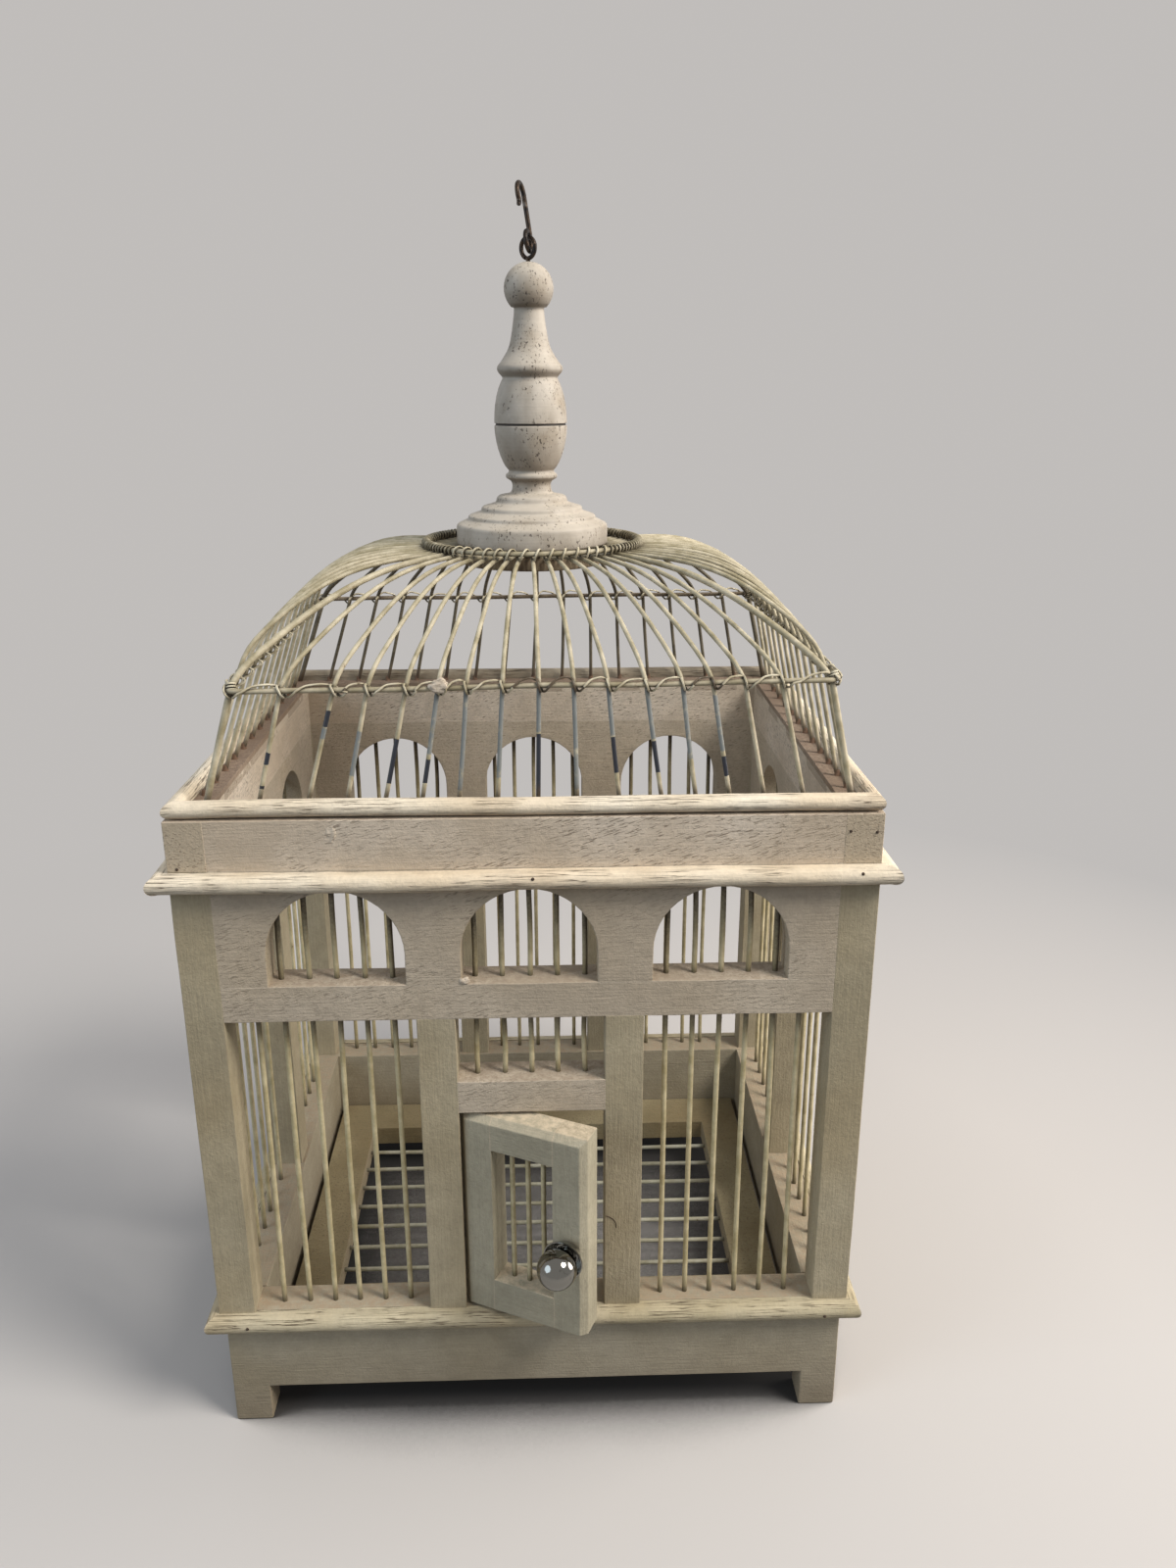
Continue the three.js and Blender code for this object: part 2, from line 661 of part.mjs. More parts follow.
function tubeOf(rings) {
  const count = rings[0].length;
  const positions = [];
  for (const ring of rings) for (const at of ring) positions.push(at.x, at.y, at.z);
  const index = [];
  for (let i = 0; i < rings.length - 1; i += 1) {
    for (let k = 0; k < count; k += 1) {
      const next = (k + 1) % count;
      const [a, b] = [i * count + k, i * count + next];
      const [c, d] = [a + count, b + count];
      index.push(a, b, d, a, d, c);
    }
  }
  const last = (rings.length - 1) * count;
  for (let k = 1; k < count - 1; k += 1) {
    index.push(0, k + 1, k);
    index.push(last, last + k, last + k + 1);
  }
  const geometry = new THREE.BufferGeometry();
  geometry.setAttribute('position', new THREE.BufferAttribute(new Float32Array(positions), 3));
  geometry.setIndex(index);
  return geometry;
}

// The least distance between turns of a winding, from point to point, leaving out each point's own neighbours
function selfGap(centres, apart) {
  let least = Infinity;
  for (let i = 0; i < centres.length; i += 1) {
    for (let k = i + apart; k < centres.length; k += 1) {
      least = Math.min(least, centres[i].distanceTo(centres[k]));
    }
  }
  return least - 2 * binding.wireRadius;
}

// How many turns a winding has made at a length along its closed line, growing evenly from knot to knot
function turnsBetween(knots, total, turnsAKnot) {
  return (length) => {
    let i = 0;
    while (i < knots.length && knots[i] <= length) i += 1;
    const before = i === 0 ? knots[knots.length - 1] - total : knots[i - 1];
    const after = i === knots.length ? knots[0] + total : knots[i];
    return turnsAKnot * (i - 1 + (length - before) / (after - before));
  };
}

// The length along the hoop's line that comes nearest to a point in plan
function nearestLength([px, py]) {
  let best = 0;
  let least = Infinity;
  for (let i = 0; i < binding.searchSteps; i += 1) {
    const length = (i / binding.searchSteps) * hoopLine.total;
    const { x, y } = hoopLine.at(length);
    const far = Math.hypot(x - px, y - py);
    if (far < least) [least, best] = [far, length];
  }
  return best;
}

// The binding wire of the hoop passes outside it at each dome wire and inside midway between two
function hoopBinding() {
  const knots = domeWires.map((wire) => nearestLength(wire.tie)).sort((a, b) => a - b);
  const turns = turnsBetween(knots, hoopLine.total, 1);
  const steps = knots.length * binding.steps;
  const used = (steps - binding.openSteps) / steps;
  const line = (share) => {
    const { x, y, out } = hoopLine.at(share * used * hoopLine.total);
    return { point: new THREE.Vector3(x, y, level.hoop), out: new THREE.Vector3(out[0], out[1], 0) };
  };
  const turnsAt = (share) => turns(share * used * hoopLine.total);
  return winding(line, dome.hoopRadius, steps - binding.openSteps, turnsAt);
}

const ringHeight = level.crown + dome.wireRadius + gap + crownRing.wireRadius;

// The angle at which a dome wire passes under the crown ring
function crossing({ tie, crown }) {
  const [x0, y0] = [crown[0] - dome.crownX, crown[1]];
  const [dx, dy] = [tie[0] - crown[0], tie[1] - crown[1]];
  const a = dx * dx + dy * dy;
  const b = x0 * dx + y0 * dy;
  const c = x0 * x0 + y0 * y0 - crownRing.radius ** 2;
  const share = (-b + Math.sqrt(b * b - a * c)) / a;
  return Math.atan2(y0 + share * dy, x0 + share * dx);
}

// The crown ring's binding dips into every second gap between the dome wires
function crownBinding() {
  const angles = domeWires.map(crossing).map((angle) => (angle + full) % full).sort((a, b) => a - b);
  const knots = angles.map((angle, i) => {
    const next = i + 1 < angles.length ? angles[i + 1] : angles[0] + full;
    return (angle + next) / 2;
  });
  const [start] = knots;
  const turns = turnsBetween(knots, full, 1 / 2);
  const steps = (knots.length / 2) * binding.steps;
  const used = (steps - binding.openSteps) / steps;
  const line = (share) => {
    const angle = start + share * used * full;
    const out = new THREE.Vector3(Math.cos(angle), Math.sin(angle), 0);
    const point = out.clone().multiplyScalar(crownRing.radius);
    point.x += dome.crownX;
    point.z = ringHeight;
    return { point, out };
  };
  const dip = -1 / 4;
  return winding(line, crownRing.wireRadius, steps - binding.openSteps, (share) => {
    const angle = start + share * used * full;
    const wrapped = angle > knots[knots.length - 1] ? angle - full : angle;
    const laps = angle > knots[knots.length - 1] ? knots.length / 2 : 0;
    return dip + laps + turns(wrapped);
  });
}

function crownRingSolid() {
  const { radius, wireRadius, sides: around, segments } = crownRing;
  const geometry = new THREE.TorusGeometry(radius, wireRadius, around, segments);
  geometry.translate(dome.crownX, 0, ringHeight);
  return solid(geometry);
}

function crown() {
  const hoopTurns = hoopBinding();
  const crownTurns = crownBinding();
  const apart = Math.round(binding.steps * apartShare);
  const least = [hoopTurns, crownTurns].map(({ centres }) => selfGap(centres, apart).toFixed(2));
  console.log(`least gap of a binding to itself: hoop ${least[0]} mm, crown ${least[1]} mm`);
  return [
    piece('hoop_binding_wire', solid(hoopTurns.geometry), 'binding'),
    piece('crown_binding_wire', solid(crownTurns.geometry), 'binding'),
    piece('crown_ring', crownRingSolid(), 'wire'),
  ];
}

const discTop = level.crown - dome.wireRadius - gap;
const finialFoot = level.crown + dome.wireRadius + gap;

function crownDiscPiece() {
  const { radius, thick, hole, edge } = crownDisc;
  const profile = [
    [hole, -thick], [radius - edge, -thick], [radius, -thick + edge], [radius, -edge],
    [radius - edge, 0], [hole, 0], [hole, -thick],
  ];
  const geometry = turned(profile, finial.segments);
  geometry.translate(dome.crownX, 0, discTop);
  return piece('crown_disc', solid(geometry), 'disc');
}

function finialPiece() {
  const f = finial;
  const ballStart = Math.asin(f.stemRadius / f.ballRadius);
  const profile = [
    [0, -f.tenonLength], [f.tenonRadius, -f.tenonLength], [f.tenonRadius, 0],
    [f.baseRadius - f.rimDrop / 2, 0], [f.baseRadius, f.rimDrop],
    [f.baseRadius, f.baseHigh - f.rimDrop], [f.baseRadius - f.rimDrop, f.baseHigh],
    [f.stepRadius + f.rimDrop, f.baseHigh + f.rimDrop], [f.stepRadius, f.stepHigh],
    [f.ringRadius + f.rimDrop, f.stepHigh + f.rimDrop], [f.ringRadius, f.ringHigh],
    [f.neckRadius, f.ringHigh + f.rimDrop], [f.neckRadius, f.neckHigh],
    [f.collarRadius, (f.neckHigh + f.collarHigh) / 2], [f.collarRadius, f.collarHigh],
    [f.waistRadius, f.waistHigh], [f.barrelFoot, f.barrelFootHigh],
  ];
  for (let i = 1; i < f.barrelSteps; i += 1) {
    const share = i / f.barrelSteps;
    profile.push([
      f.barrelFoot + (f.barrelRadius - f.barrelFoot) * Math.sin(share * quarter),
      f.barrelFootHigh + (f.barrelHigh - f.barrelFootHigh) * share,
    ]);
  }
  profile.push(
    [f.barrelRadius, f.barrelHigh], [f.barrelRadius - f.grooveDepth, (f.barrelHigh + f.grooveHigh) / 2],
    [f.barrelRadius, f.grooveHigh],
  );
  for (let i = 1; i < f.shoulderSteps; i += 1) {
    const share = i / f.shoulderSteps;
    profile.push([
      f.barrelRadius + (f.shoulderRadius - f.barrelRadius) * (1 - (1 - share) ** 2),
      f.grooveHigh + (f.shoulderHigh - f.grooveHigh) * share,
    ]);
  }
  profile.push(
    [f.shoulderRadius, f.shoulderHigh], [f.flareRadius, f.flareHigh], [f.flareRadius, f.flareTop - f.rimDrop],
  );
  for (let i = 1; i <= f.stemSteps; i += 1) {
    const share = i / f.stemSteps;
    profile.push([
      f.stemRadius + (f.flareRadius - f.rimDrop - f.stemRadius) * (1 - share) ** f.stemPower,
      f.flareTop + (f.stemHigh - f.flareTop) * share,
    ]);
  }
  for (let i = 1; i < f.ballSteps; i += 1) {
    const angle = (1 - i / f.ballSteps) * (Math.PI - ballStart);
    profile.push([f.ballRadius * Math.sin(angle), f.ballHigh + f.ballRadius * Math.cos(angle)]);
  }
  profile.push([0, f.ballHigh + f.ballRadius]);
  const geometry = turned(profile, f.segments);
  const top = f.ballHigh + f.ballRadius;
  const drill = rod(eye.wireRadius + gap, eye.tubeSides, 0, 0, top - f.drillDepth, top + overrun);
  const body = solid(geometry).subtract(drill).translate([dome.crownX, 0, finialFoot]);
  return piece('finial', body, 'turned');
}

const finialTop = finialFoot + finial.ballHigh + finial.ballRadius;
const eyeCentre = finialTop + gap + eye.wireRadius + eye.ringRadius;
const eyeTop = eyeCentre + eye.ringRadius;

function screwEye() {
  const ring = new THREE.TorusGeometry(eye.ringRadius, eye.wireRadius, eye.tubeSides, eye.segments);
  ring.rotateX(quarter);
  ring.translate(0, 0, eyeCentre);
  const shank = rod(eye.wireRadius, eye.tubeSides, 0, 0, finialTop - eye.shank, eyeCentre - eye.ringRadius);
  const body = solid(ring).add(shank).rotate([0, 0, eye.turn]).translate([dome.crownX, 0, 0]);
  return piece('screw_eye', body, 'steel');
}

// Points of an arc in the hook's own plane, angles in degrees
function arcPoints(cx, cy, radius, from, to) {
  const count = Math.max(2, Math.round(Math.abs(to - from) / hook.arcStep));
  const points = [];
  for (let i = 0; i <= count; i += 1) {
    const angle = THREE.MathUtils.degToRad(from + ((to - from) * i) / count);
    points.push([cx + radius * Math.cos(angle), cy + radius * Math.sin(angle)]);
  }
  return points;
}

// The hook: a loop round the top of the eye, a straight shank and an open crook with its tip curled out.
// Its points are measured from the middle of the eye's top wire, which is also where it swings.
function hangingHook() {
  const loopDrop = hook.loopRadius - hook.wireRadius - eye.wireRadius - hook.rest;
  const crookX = hook.loopRadius - hook.crookRadius;
  const crookY = hook.shank - loopDrop;
  const flat = [
    ...arcPoints(0, -loopDrop, hook.loopRadius, hook.loopStart, 4 * quarterDegrees),
    ...arcPoints(crookX, crookY, hook.crookRadius, 0, hook.crookEnd),
  ];
  const end = THREE.MathUtils.degToRad(hook.crookEnd);
  const curlReach = hook.crookRadius + hook.curlRadius;
  const curl = arcPoints(
    crookX + curlReach * Math.cos(end), crookY + curlReach * Math.sin(end),
    hook.curlRadius, hook.crookEnd - 2 * quarterDegrees, hook.curlEnd,
  );
  flat.push(...curl.slice(1));
  const points = flat.map(([u, w]) => new THREE.Vector3(u, 0, w));
  const body = wireSolid(points, hook.wireRadius, hook.sides)
    .rotate([-hook.lean, 0, 0])
    .rotate([0, 0, hook.turn])
    .translate([dome.crownX, 0, eyeTop]);
  return piece('hanging_hook', body, 'steel');
}

// The door, in its own frame: x along it from the pivot, y into the cage, z from the ground
const doorSize = {
  wide: 2 * (stile.doorHalf - door.sideGap),
  bottom: level.apronTop + door.sillGap,
  top: level.lintelBottom - door.lintelGap,
};
const pivot = { x: -stile.doorHalf + door.sideGap + door.pivotIn, y: -depth / 2 + door.thick / 2 };

// Everything that the chamfers along the door's front edges leave
function doorEnvelope() {
  const [x0, x1] = [-door.pivotIn, doorSize.wide - door.pivotIn];
  const [y0, y1] = [-door.thick / 2, door.thick / 2];
  const plan = new THREE.Shape([
    new THREE.Vector2(x0 + door.chamfer, y0), new THREE.Vector2(x1 - door.chamfer, y0),
    new THREE.Vector2(x1, y0 + door.chamfer), new THREE.Vector2(x1, y1),
    new THREE.Vector2(x0, y1), new THREE.Vector2(x0, y0 + door.chamfer),
  ]);
  const high = doorSize.top - doorSize.bottom;
  const upright = new THREE.ExtrudeGeometry(plan, { depth: high, bevelEnabled: false });
  upright.translate(0, 0, doorSize.bottom);
  const head = new THREE.Shape([
    new THREE.Vector2(y0 - overrun, doorSize.top - door.chamfer - overrun),
    new THREE.Vector2(y0 + door.chamfer + overrun, doorSize.top + overrun),
    new THREE.Vector2(y0 - overrun, doorSize.top + overrun),
  ]);
  const long = doorSize.wide + 2 * overrun;
  const wedge = new THREE.ExtrudeGeometry(head, { depth: long, bevelEnabled: false });
  wedge.rotateY(quarter);
  wedge.rotateX(quarter);
  wedge.translate(x0 - overrun, 0, 0);
  return solid(upright).subtract(solid(wedge));
}

function doorPieces() {
  const [x0, x1] = [-door.pivotIn, doorSize.wide - door.pivotIn];
  const [y0, y1] = [-door.thick / 2, door.thick / 2];
  const { bottom, top } = doorSize;
  const envelope = doorEnvelope();
  const pinHole = rod(pin.radius + gap, pin.segments, 0, 0, bottom - overrun, bottom + pin.hold + gap)
    .add(rod(pin.radius + gap, pin.segments, 0, 0, top - pin.hold - gap, top + overrun));
  const knobAt = { x: x1 - door.stileWide / 2, z: bottom + knob.high };
  const holeRadius = knob.tenonRadius + gap;
  const holeEnd = knob.tenonLength + gap;
  const holeProfile = [[0, -overrun], [holeRadius, -overrun], [holeRadius, holeEnd], [0, holeEnd]];
  const tenonHole = knobTurned(holeProfile, knob.segments, knobAt, false);
  const hingeBlock = block(x0, x0 + door.stileWide, y0, y1, bottom, top);
  const hingeStile = envelope.intersect(hingeBlock).subtract(pinHole);
  const latchBlock = block(x1 - door.stileWide, x1, y0, y1, bottom, top);
  const latchStile = envelope.intersect(latchBlock).subtract(tenonHole);
  const [inner0, inner1] = [x0 + door.stileWide + gap, x1 - door.stileWide - gap];
  const topRail = envelope.intersect(block(inner0, inner1, y0, y1, top - door.topRail, top));
  let bottomRail = envelope.intersect(block(inner0, inner1, y0, y1, bottom, bottom + door.bottomRail));
  const pitch = (inner1 - inner0) / (door.bars + 1);
  const [foot, head] = [bottom + door.bottomRail - overrun, top - door.topRail - gap];
  for (let i = 1; i <= door.bars; i += 1) {
    bottomRail = bottomRail.add(rod(bar.radius, bar.sides, inner0 + i * pitch, 0, foot, head));
  }
  const ballRings = [];
  const join = Math.asin(knob.stemRadius / knob.ballRadius);
  for (let i = 0; i < knob.rings; i += 1) {
    const angle = join + ((Math.PI - join) * i) / knob.rings;
    ballRings.push([knob.ballRadius * Math.sin(angle), -knob.ballOut + knob.ballRadius * Math.cos(angle)]);
  }
  const knobProfile = [
    [0, knob.tenonLength], [knob.tenonRadius, knob.tenonLength],
    [knob.tenonRadius, -gap], [knob.stemRadius, -gap],
    ...ballRings, [0, -knob.ballOut - knob.ballRadius],
  ];
  const roseBore = knob.stemRadius + gap;
  const roseProfile = [
    [roseBore, -gap], [rose.foot, -gap], [rose.foot + rose.wall, -gap - rose.wall],
    [rose.radius, -rose.high + rose.wall], [rose.radius, -rose.high], [rose.radius - rose.wall, -rose.high],
    [rose.foot - rose.wall / 2, -gap - 2 * rose.wall], [roseBore, -gap - 2 * rose.wall], [roseBore, -gap],
  ];
  const made = [
    piece('door_hinge_stile', hingeStile, 'wood'),
    piece('door_latch_stile', latchStile, 'wood'),
    piece('door_top_rail', topRail, 'wood'),
    piece('door_bottom_rail_and_bars', bottomRail, 'wood'),
    piece('door_knob', knobTurned(knobProfile, knob.segments, knobAt, true), 'chrome'),
    piece('door_knob_rose', knobTurned(roseProfile, rose.segments, knobAt, true), 'chrome'),
  ];
  const leaf = new THREE.Group();
  leaf.add(...made);
  leaf.position.set(pivot.x, pivot.y, 0);
  leaf.rotation.z = THREE.MathUtils.degToRad(-door.openAngle);
  return leaf;
}

// A turned piece on the door's front: the outline's heights run into the door
function knobTurned(profile, segments, at, flip) {
  const ordered = flip ? [...profile].reverse() : profile;
  const geometry = new THREE.LatheGeometry(ordered.map(([r, y]) => new THREE.Vector2(r, y)), segments);
  geometry.translate(at.x, -door.thick / 2, at.z);
  return solid(geometry);
}

function pivotPins() {
  const reach = pin.hold;
  const { radius, segments } = pin;
  const top = rod(radius, segments, pivot.x, pivot.y, doorSize.top - reach, level.lintelBottom + reach);
  const bottom = rod(radius, segments, pivot.x, pivot.y, level.apronTop - reach, doorSize.bottom + reach);
  return [piece('door_top_pin', top, 'steel'), piece('door_bottom_pin', bottom, 'steel')];
}

function pinHoles() {
  const lower = rod(pin.radius + gap, pin.segments, pivot.x, pivot.y,
    level.apronTop - pin.hold - gap, level.apronTop + overrun);
  const upper = rod(pin.radius + gap, pin.segments, pivot.x, pivot.y,
    level.lintelBottom - overrun, level.lintelBottom + pin.hold + gap);
  return { lower, upper };
}

const holes = pinHoles();
const cage = new THREE.Group();
cage.add(
  ...cornerPosts(),
  ...aprons(holes.lower),
  ...baseMouldings(),
  ...floorWithWires(),
  ...barredRails(),
  ...stiles(),
  ...doorLintel(holes.upper),
  ...archBoards(),
  ...corniceMouldings(),
  ...friezeBoards(domeHoles()),
  ...capBoards(),
  ...domeSides(),
  ...crown(),
  crownDiscPiece(),
  finialPiece(),
  screwEye(),
  hangingHook(),
  ...pivotPins(),
  doorPieces(),
);

// The open door's knob reaches furthest forward and the cornice furthest back: the origin is midway
const swing = THREE.MathUtils.degToRad(door.openAngle);
const knobAlong = doorSize.wide - door.pivotIn - door.stileWide / 2;
const knobOut = door.thick / 2 + knob.ballOut;
const frontReach = -pivot.y + knobAlong * Math.sin(swing) + knobOut * Math.cos(swing) + knob.ballRadius;
const backReach = depth / 2 + cornice.reach;
cage.position.y = (frontReach - backReach) / 2;

export default cage;
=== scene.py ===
# Bird cage: painted softwood cabin, wire dome, turned finial and hook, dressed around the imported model
import math
import random

import bmesh
import bpy
from mathutils import Matrix, Vector, noise


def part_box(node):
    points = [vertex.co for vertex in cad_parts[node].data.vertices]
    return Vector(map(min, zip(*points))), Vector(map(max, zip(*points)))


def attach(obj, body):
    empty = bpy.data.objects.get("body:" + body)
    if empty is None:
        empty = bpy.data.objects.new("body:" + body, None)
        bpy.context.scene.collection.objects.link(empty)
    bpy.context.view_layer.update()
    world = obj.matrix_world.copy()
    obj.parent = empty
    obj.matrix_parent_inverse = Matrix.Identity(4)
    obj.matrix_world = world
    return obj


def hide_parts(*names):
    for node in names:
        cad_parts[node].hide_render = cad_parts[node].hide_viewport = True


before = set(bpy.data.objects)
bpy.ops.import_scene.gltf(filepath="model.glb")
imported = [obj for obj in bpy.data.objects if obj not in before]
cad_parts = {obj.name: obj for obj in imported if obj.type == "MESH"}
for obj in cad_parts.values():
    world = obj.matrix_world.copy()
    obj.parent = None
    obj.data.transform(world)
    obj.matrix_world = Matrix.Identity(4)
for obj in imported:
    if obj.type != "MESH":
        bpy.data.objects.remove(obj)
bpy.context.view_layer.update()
print("frame loaded:", len(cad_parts), "nodes")

mm = 0.001
fullTurn = 2 * math.pi
quarterTurn = math.pi / 2

# The cabin stands a little behind the middle of the footprint, because the open door reaches forward
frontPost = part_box("front_left_post")
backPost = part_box("back_right_post")
middleY = (frontPost[0].y + backPost[1].y) / 2
cabin = dict(
    width=300, depth=250, post=17, gap=0.3, footTop=20, apronTop=66, apronInset=2, apronThick=16.5,
    apronEdge=0.9, footWidth=17.8, railBottom=221, railTop=238, friezeBottom=291.7, friezeTop=314.2,
    shelf=316.5, capTop=321.8,
)

# Each side is made as the front and turned: half its length, and how far out from the middle it stands
sides = {}
for turn, name in enumerate(("front", "right", "back", "left")):
    isLong = turn % 2 == 0
    sides[name] = dict(
        turn=turn, isLong=isLong, axis="x" if isLong else "y",
        half=(cabin["width"] if isLong else cabin["depth"]) / 2,
        out=(cabin["depth"] if isLong else cabin["width"]) / 2,
    )


def spot(x, y, z):
    # a point in millimetres from the middle of the cabin's foot
    return Vector((x * mm, y * mm + middleY, z * mm))


def sideMatrix(turn):
    middle = Matrix.Translation((0, middleY, 0))
    return middle @ Matrix.Rotation(turn * quarterTurn, 4, "Z") @ middle.inverted()


def turnedAt(place, degrees, axis="Z"):
    return Matrix.Translation(place) @ Matrix.Rotation(math.radians(degrees), 4, axis)


def tone(red, green, blue):
    # a colour read off a photograph, 0 to 255, as the linear colour that the shader takes
    def linear(value):
        value /= 255
        return value / 12.92 if value <= 0.04045 else ((value + 0.055) / 1.055) ** 2.4
    return (linear(red), linear(green), linear(blue), 1)


# Shader maths

class Value:
    # wraps a socket so that maths on it reads as a plain expression
    def __init__(self, finish, socket):
        self.finish = finish
        self.socket = socket

    def maths(self, operation, first, second=None):
        values = {0: first} if second is None else {0: first, 1: second}
        return self.finish.node("ShaderNodeMath", {"operation": operation}, values)

    def __add__(self, other):
        return self.maths("ADD", self, other)

    def __radd__(self, other):
        return self.maths("ADD", other, self)

    def __sub__(self, other):
        return self.maths("SUBTRACT", self, other)

    def __rsub__(self, other):
        return self.maths("SUBTRACT", other, self)

    def __mul__(self, other):
        return self.maths("MULTIPLY", self, other)

    def __rmul__(self, other):
        return self.maths("MULTIPLY", other, self)

    def __truediv__(self, other):
        return self.maths("DIVIDE", self, other)

    def __abs__(self):
        return self.maths("ABSOLUTE", self)

    def held(self):
        # kept between 0 and 1
        return self.finish.node("ShaderNodeClamp", {}, {"Value": self})

    def over(self, level, soft):
        # 0 below the level, rising to 1 over the soft stretch above it
        return ((self - level) / soft).held()


class Finish:
    # one material or world: its nodes, its place on the piece and its closing shader
    def __init__(self, owner):
        self.owner = owner
        owner.use_nodes = True
        self.tree = owner.node_tree
        self.tree.nodes.clear()

    def node(self, kind, settings=None, values=None, out=0):
        made = self.tree.nodes.new(kind)
        for key, setting in (settings or {}).items():
            setattr(made, key, setting)
        for key, value in (values or {}).items():
            if isinstance(value, Value):
                self.tree.links.new(value.socket, made.inputs[key])
            else:
                made.inputs[key].default_value = value
        return Value(self, made.outputs[out]) if made.outputs else None

    def moved(self, lengths, turn=(0, 0, 0), shift=(0, 0, 0)):
        # the place on the piece, turned and measured in waves of these lengths in millimetres
        place = self.node("ShaderNodeTexCoord", {}, {}, "Object")
        scale = tuple(length * mm for length in lengths)
        values = {"Vector": place, "Scale": scale, "Rotation": turn, "Location": shift}
        return self.node("ShaderNodeMapping", {"vector_type": "TEXTURE"}, values)

    def cloud(self, lengths, detail=2.0, rough=0.5, turn=(0, 0, 0), shift=(0, 0, 0)):
        if not isinstance(lengths, tuple):
            lengths = (lengths, lengths, lengths)
        place = self.moved(lengths, turn, shift)
        values = {"Vector": place, "Scale": 1.0, "Detail": detail, "Roughness": rough}
        return self.node("ShaderNodeTexNoise", {}, values, "Fac")

    def mix(self, factor, first, second, kind="MIX"):
        settings = {"data_type": "RGBA", "blend_type": kind, "clamp_factor": True}
        return self.node("ShaderNodeMix", settings, {0: factor, 6: first, 7: second}, 2)

    def shade(self, colour, factor):
        # the colour made darker or lighter by a number
        grey = self.node("ShaderNodeCombineColor", {}, {0: factor, 1: factor, 2: factor})
        return self.mix(1.0, colour, grey, "MULTIPLY")

    def facing(self, axis):
        # how far the surface faces up, or along another axis
        normal = self.node("ShaderNodeNewGeometry", {}, {}, "Normal")
        return self.node("ShaderNodeSeparateXYZ", {}, {0: normal}, axis)

    def painted(self, name):
        # a number written on the piece's points when its mesh was made
        return self.node("ShaderNodeAttribute", {"attribute_name": name}, {}, "Fac")

    def corner(self, reach, inside=False, samples=6):
        settings = {"samples": samples, "inside": inside}
        return self.node("ShaderNodeAmbientOcclusion", settings, {"Distance": reach * mm}, "AO")

    def close(self, colour, roughness, bump=None, reach=0.2, strength=1.0, metallic=0.0):
        values = {"Base Color": colour, "Roughness": roughness, "Metallic": metallic}
        if bump is not None:
            heights = {"Height": bump, "Distance": reach * mm, "Strength": strength}
            values["Normal"] = self.node("ShaderNodeBump", {}, heights, "Normal")
        surface = self.node("ShaderNodeBsdfPrincipled", {}, values)
        self.node("ShaderNodeOutputMaterial", {}, {"Surface": surface})
        return self.owner


def newFinish(name):
    return Finish(bpy.data.materials.new(name))


# Finishes

woodPaint = dict(
    light=tone(191, 178, 159), deep=tone(174, 161, 142), tan=tone(176, 158, 131), fleck=tone(84, 72, 58),
    dustAndTopLight=tone(156, 140, 122), worn=tone(208, 196, 177), dirtAndShade=tone(96, 80, 62), end=tone(172, 158, 133),
    dustAndTopLightShare=0.85, flecks=0.45, grain=0.10, cracks=0.0, tanShare=0.45, roughness=0.8, endDarkening=0.0, lowGrimeAndShade=0.0,
)
friezePaint = dict(woodPaint, light=tone(212, 199, 182), deep=tone(192, 177, 157), tan=tone(184, 167, 144),
                   fleck=tone(112, 98, 82), flecks=0.75, endDarkening=0.55)
trimPaint = dict(woodPaint, light=tone(240, 229, 208), deep=tone(220, 205, 180), tan=tone(203, 177, 142),
                 flecks=0.0, grain=0.16, cracks=0.95, tanShare=0.45, dustAndTopLightShare=0.06, fleck=tone(84, 64, 44))
basePaint = dict(trimPaint, light=tone(198, 187, 160), deep=tone(176, 164, 134), tan=tone(164, 143, 106))
backTrimPaint = dict(trimPaint, light=tone(172, 160, 140), deep=tone(148, 136, 116), tan=tone(140, 122, 96))
postPaint = dict(woodPaint, light=tone(174, 163, 138), deep=tone(157, 146, 121), tan=tone(160, 143, 109),
                 flecks=0.12, grain=0.14)
apronPaint = dict(woodPaint, light=tone(168, 159, 139), deep=tone(152, 143, 122), tan=tone(154, 141, 113),
                  flecks=0.08, dustAndTopLight=tone(165, 146, 122), lowGrimeAndShade=0.45)
# the door's top and edges are lighter than its paint: painted top light and edge highlight, with some wear
doorPaint = dict(woodPaint, light=tone(172, 165, 144), deep=tone(157, 150, 129), tan=tone(162, 151, 126),
                 worn=tone(202, 182, 156), flecks=0.1, dustAndTopLight=tone(212, 196, 170), dustAndTopLightShare=0.9, tanShare=0.2)
shelfPaint = dict(woodPaint, light=tone(160, 142, 124), deep=tone(126, 108, 90), tan=tone(140, 116, 90),
                  dustAndTopLight=tone(128, 108, 92), fleck=tone(70, 52, 38), flecks=0.6)
floorPaint = dict(woodPaint, light=tone(168, 156, 124), deep=tone(136, 123, 92), tan=tone(128, 106, 70),
                  dustAndTopLight=tone(150, 136, 106), dustAndTopLightShare=0.5, tanShare=0.6)
fibreLengths = dict(x=(3.6, 1.2, 0.42), y=(1.2, 3.6, 0.42), z=(0.6, 0.6, 3.0))
fibreTurns = dict(x=(0, -0.3, 0), y=(0.3, 0, 0), z=(0, 0, 0))


def stretched(axis, long, fine):
    # waves that are long along the grain and fine across it
    return tuple(long if key == axis else fine for key in "xyz")


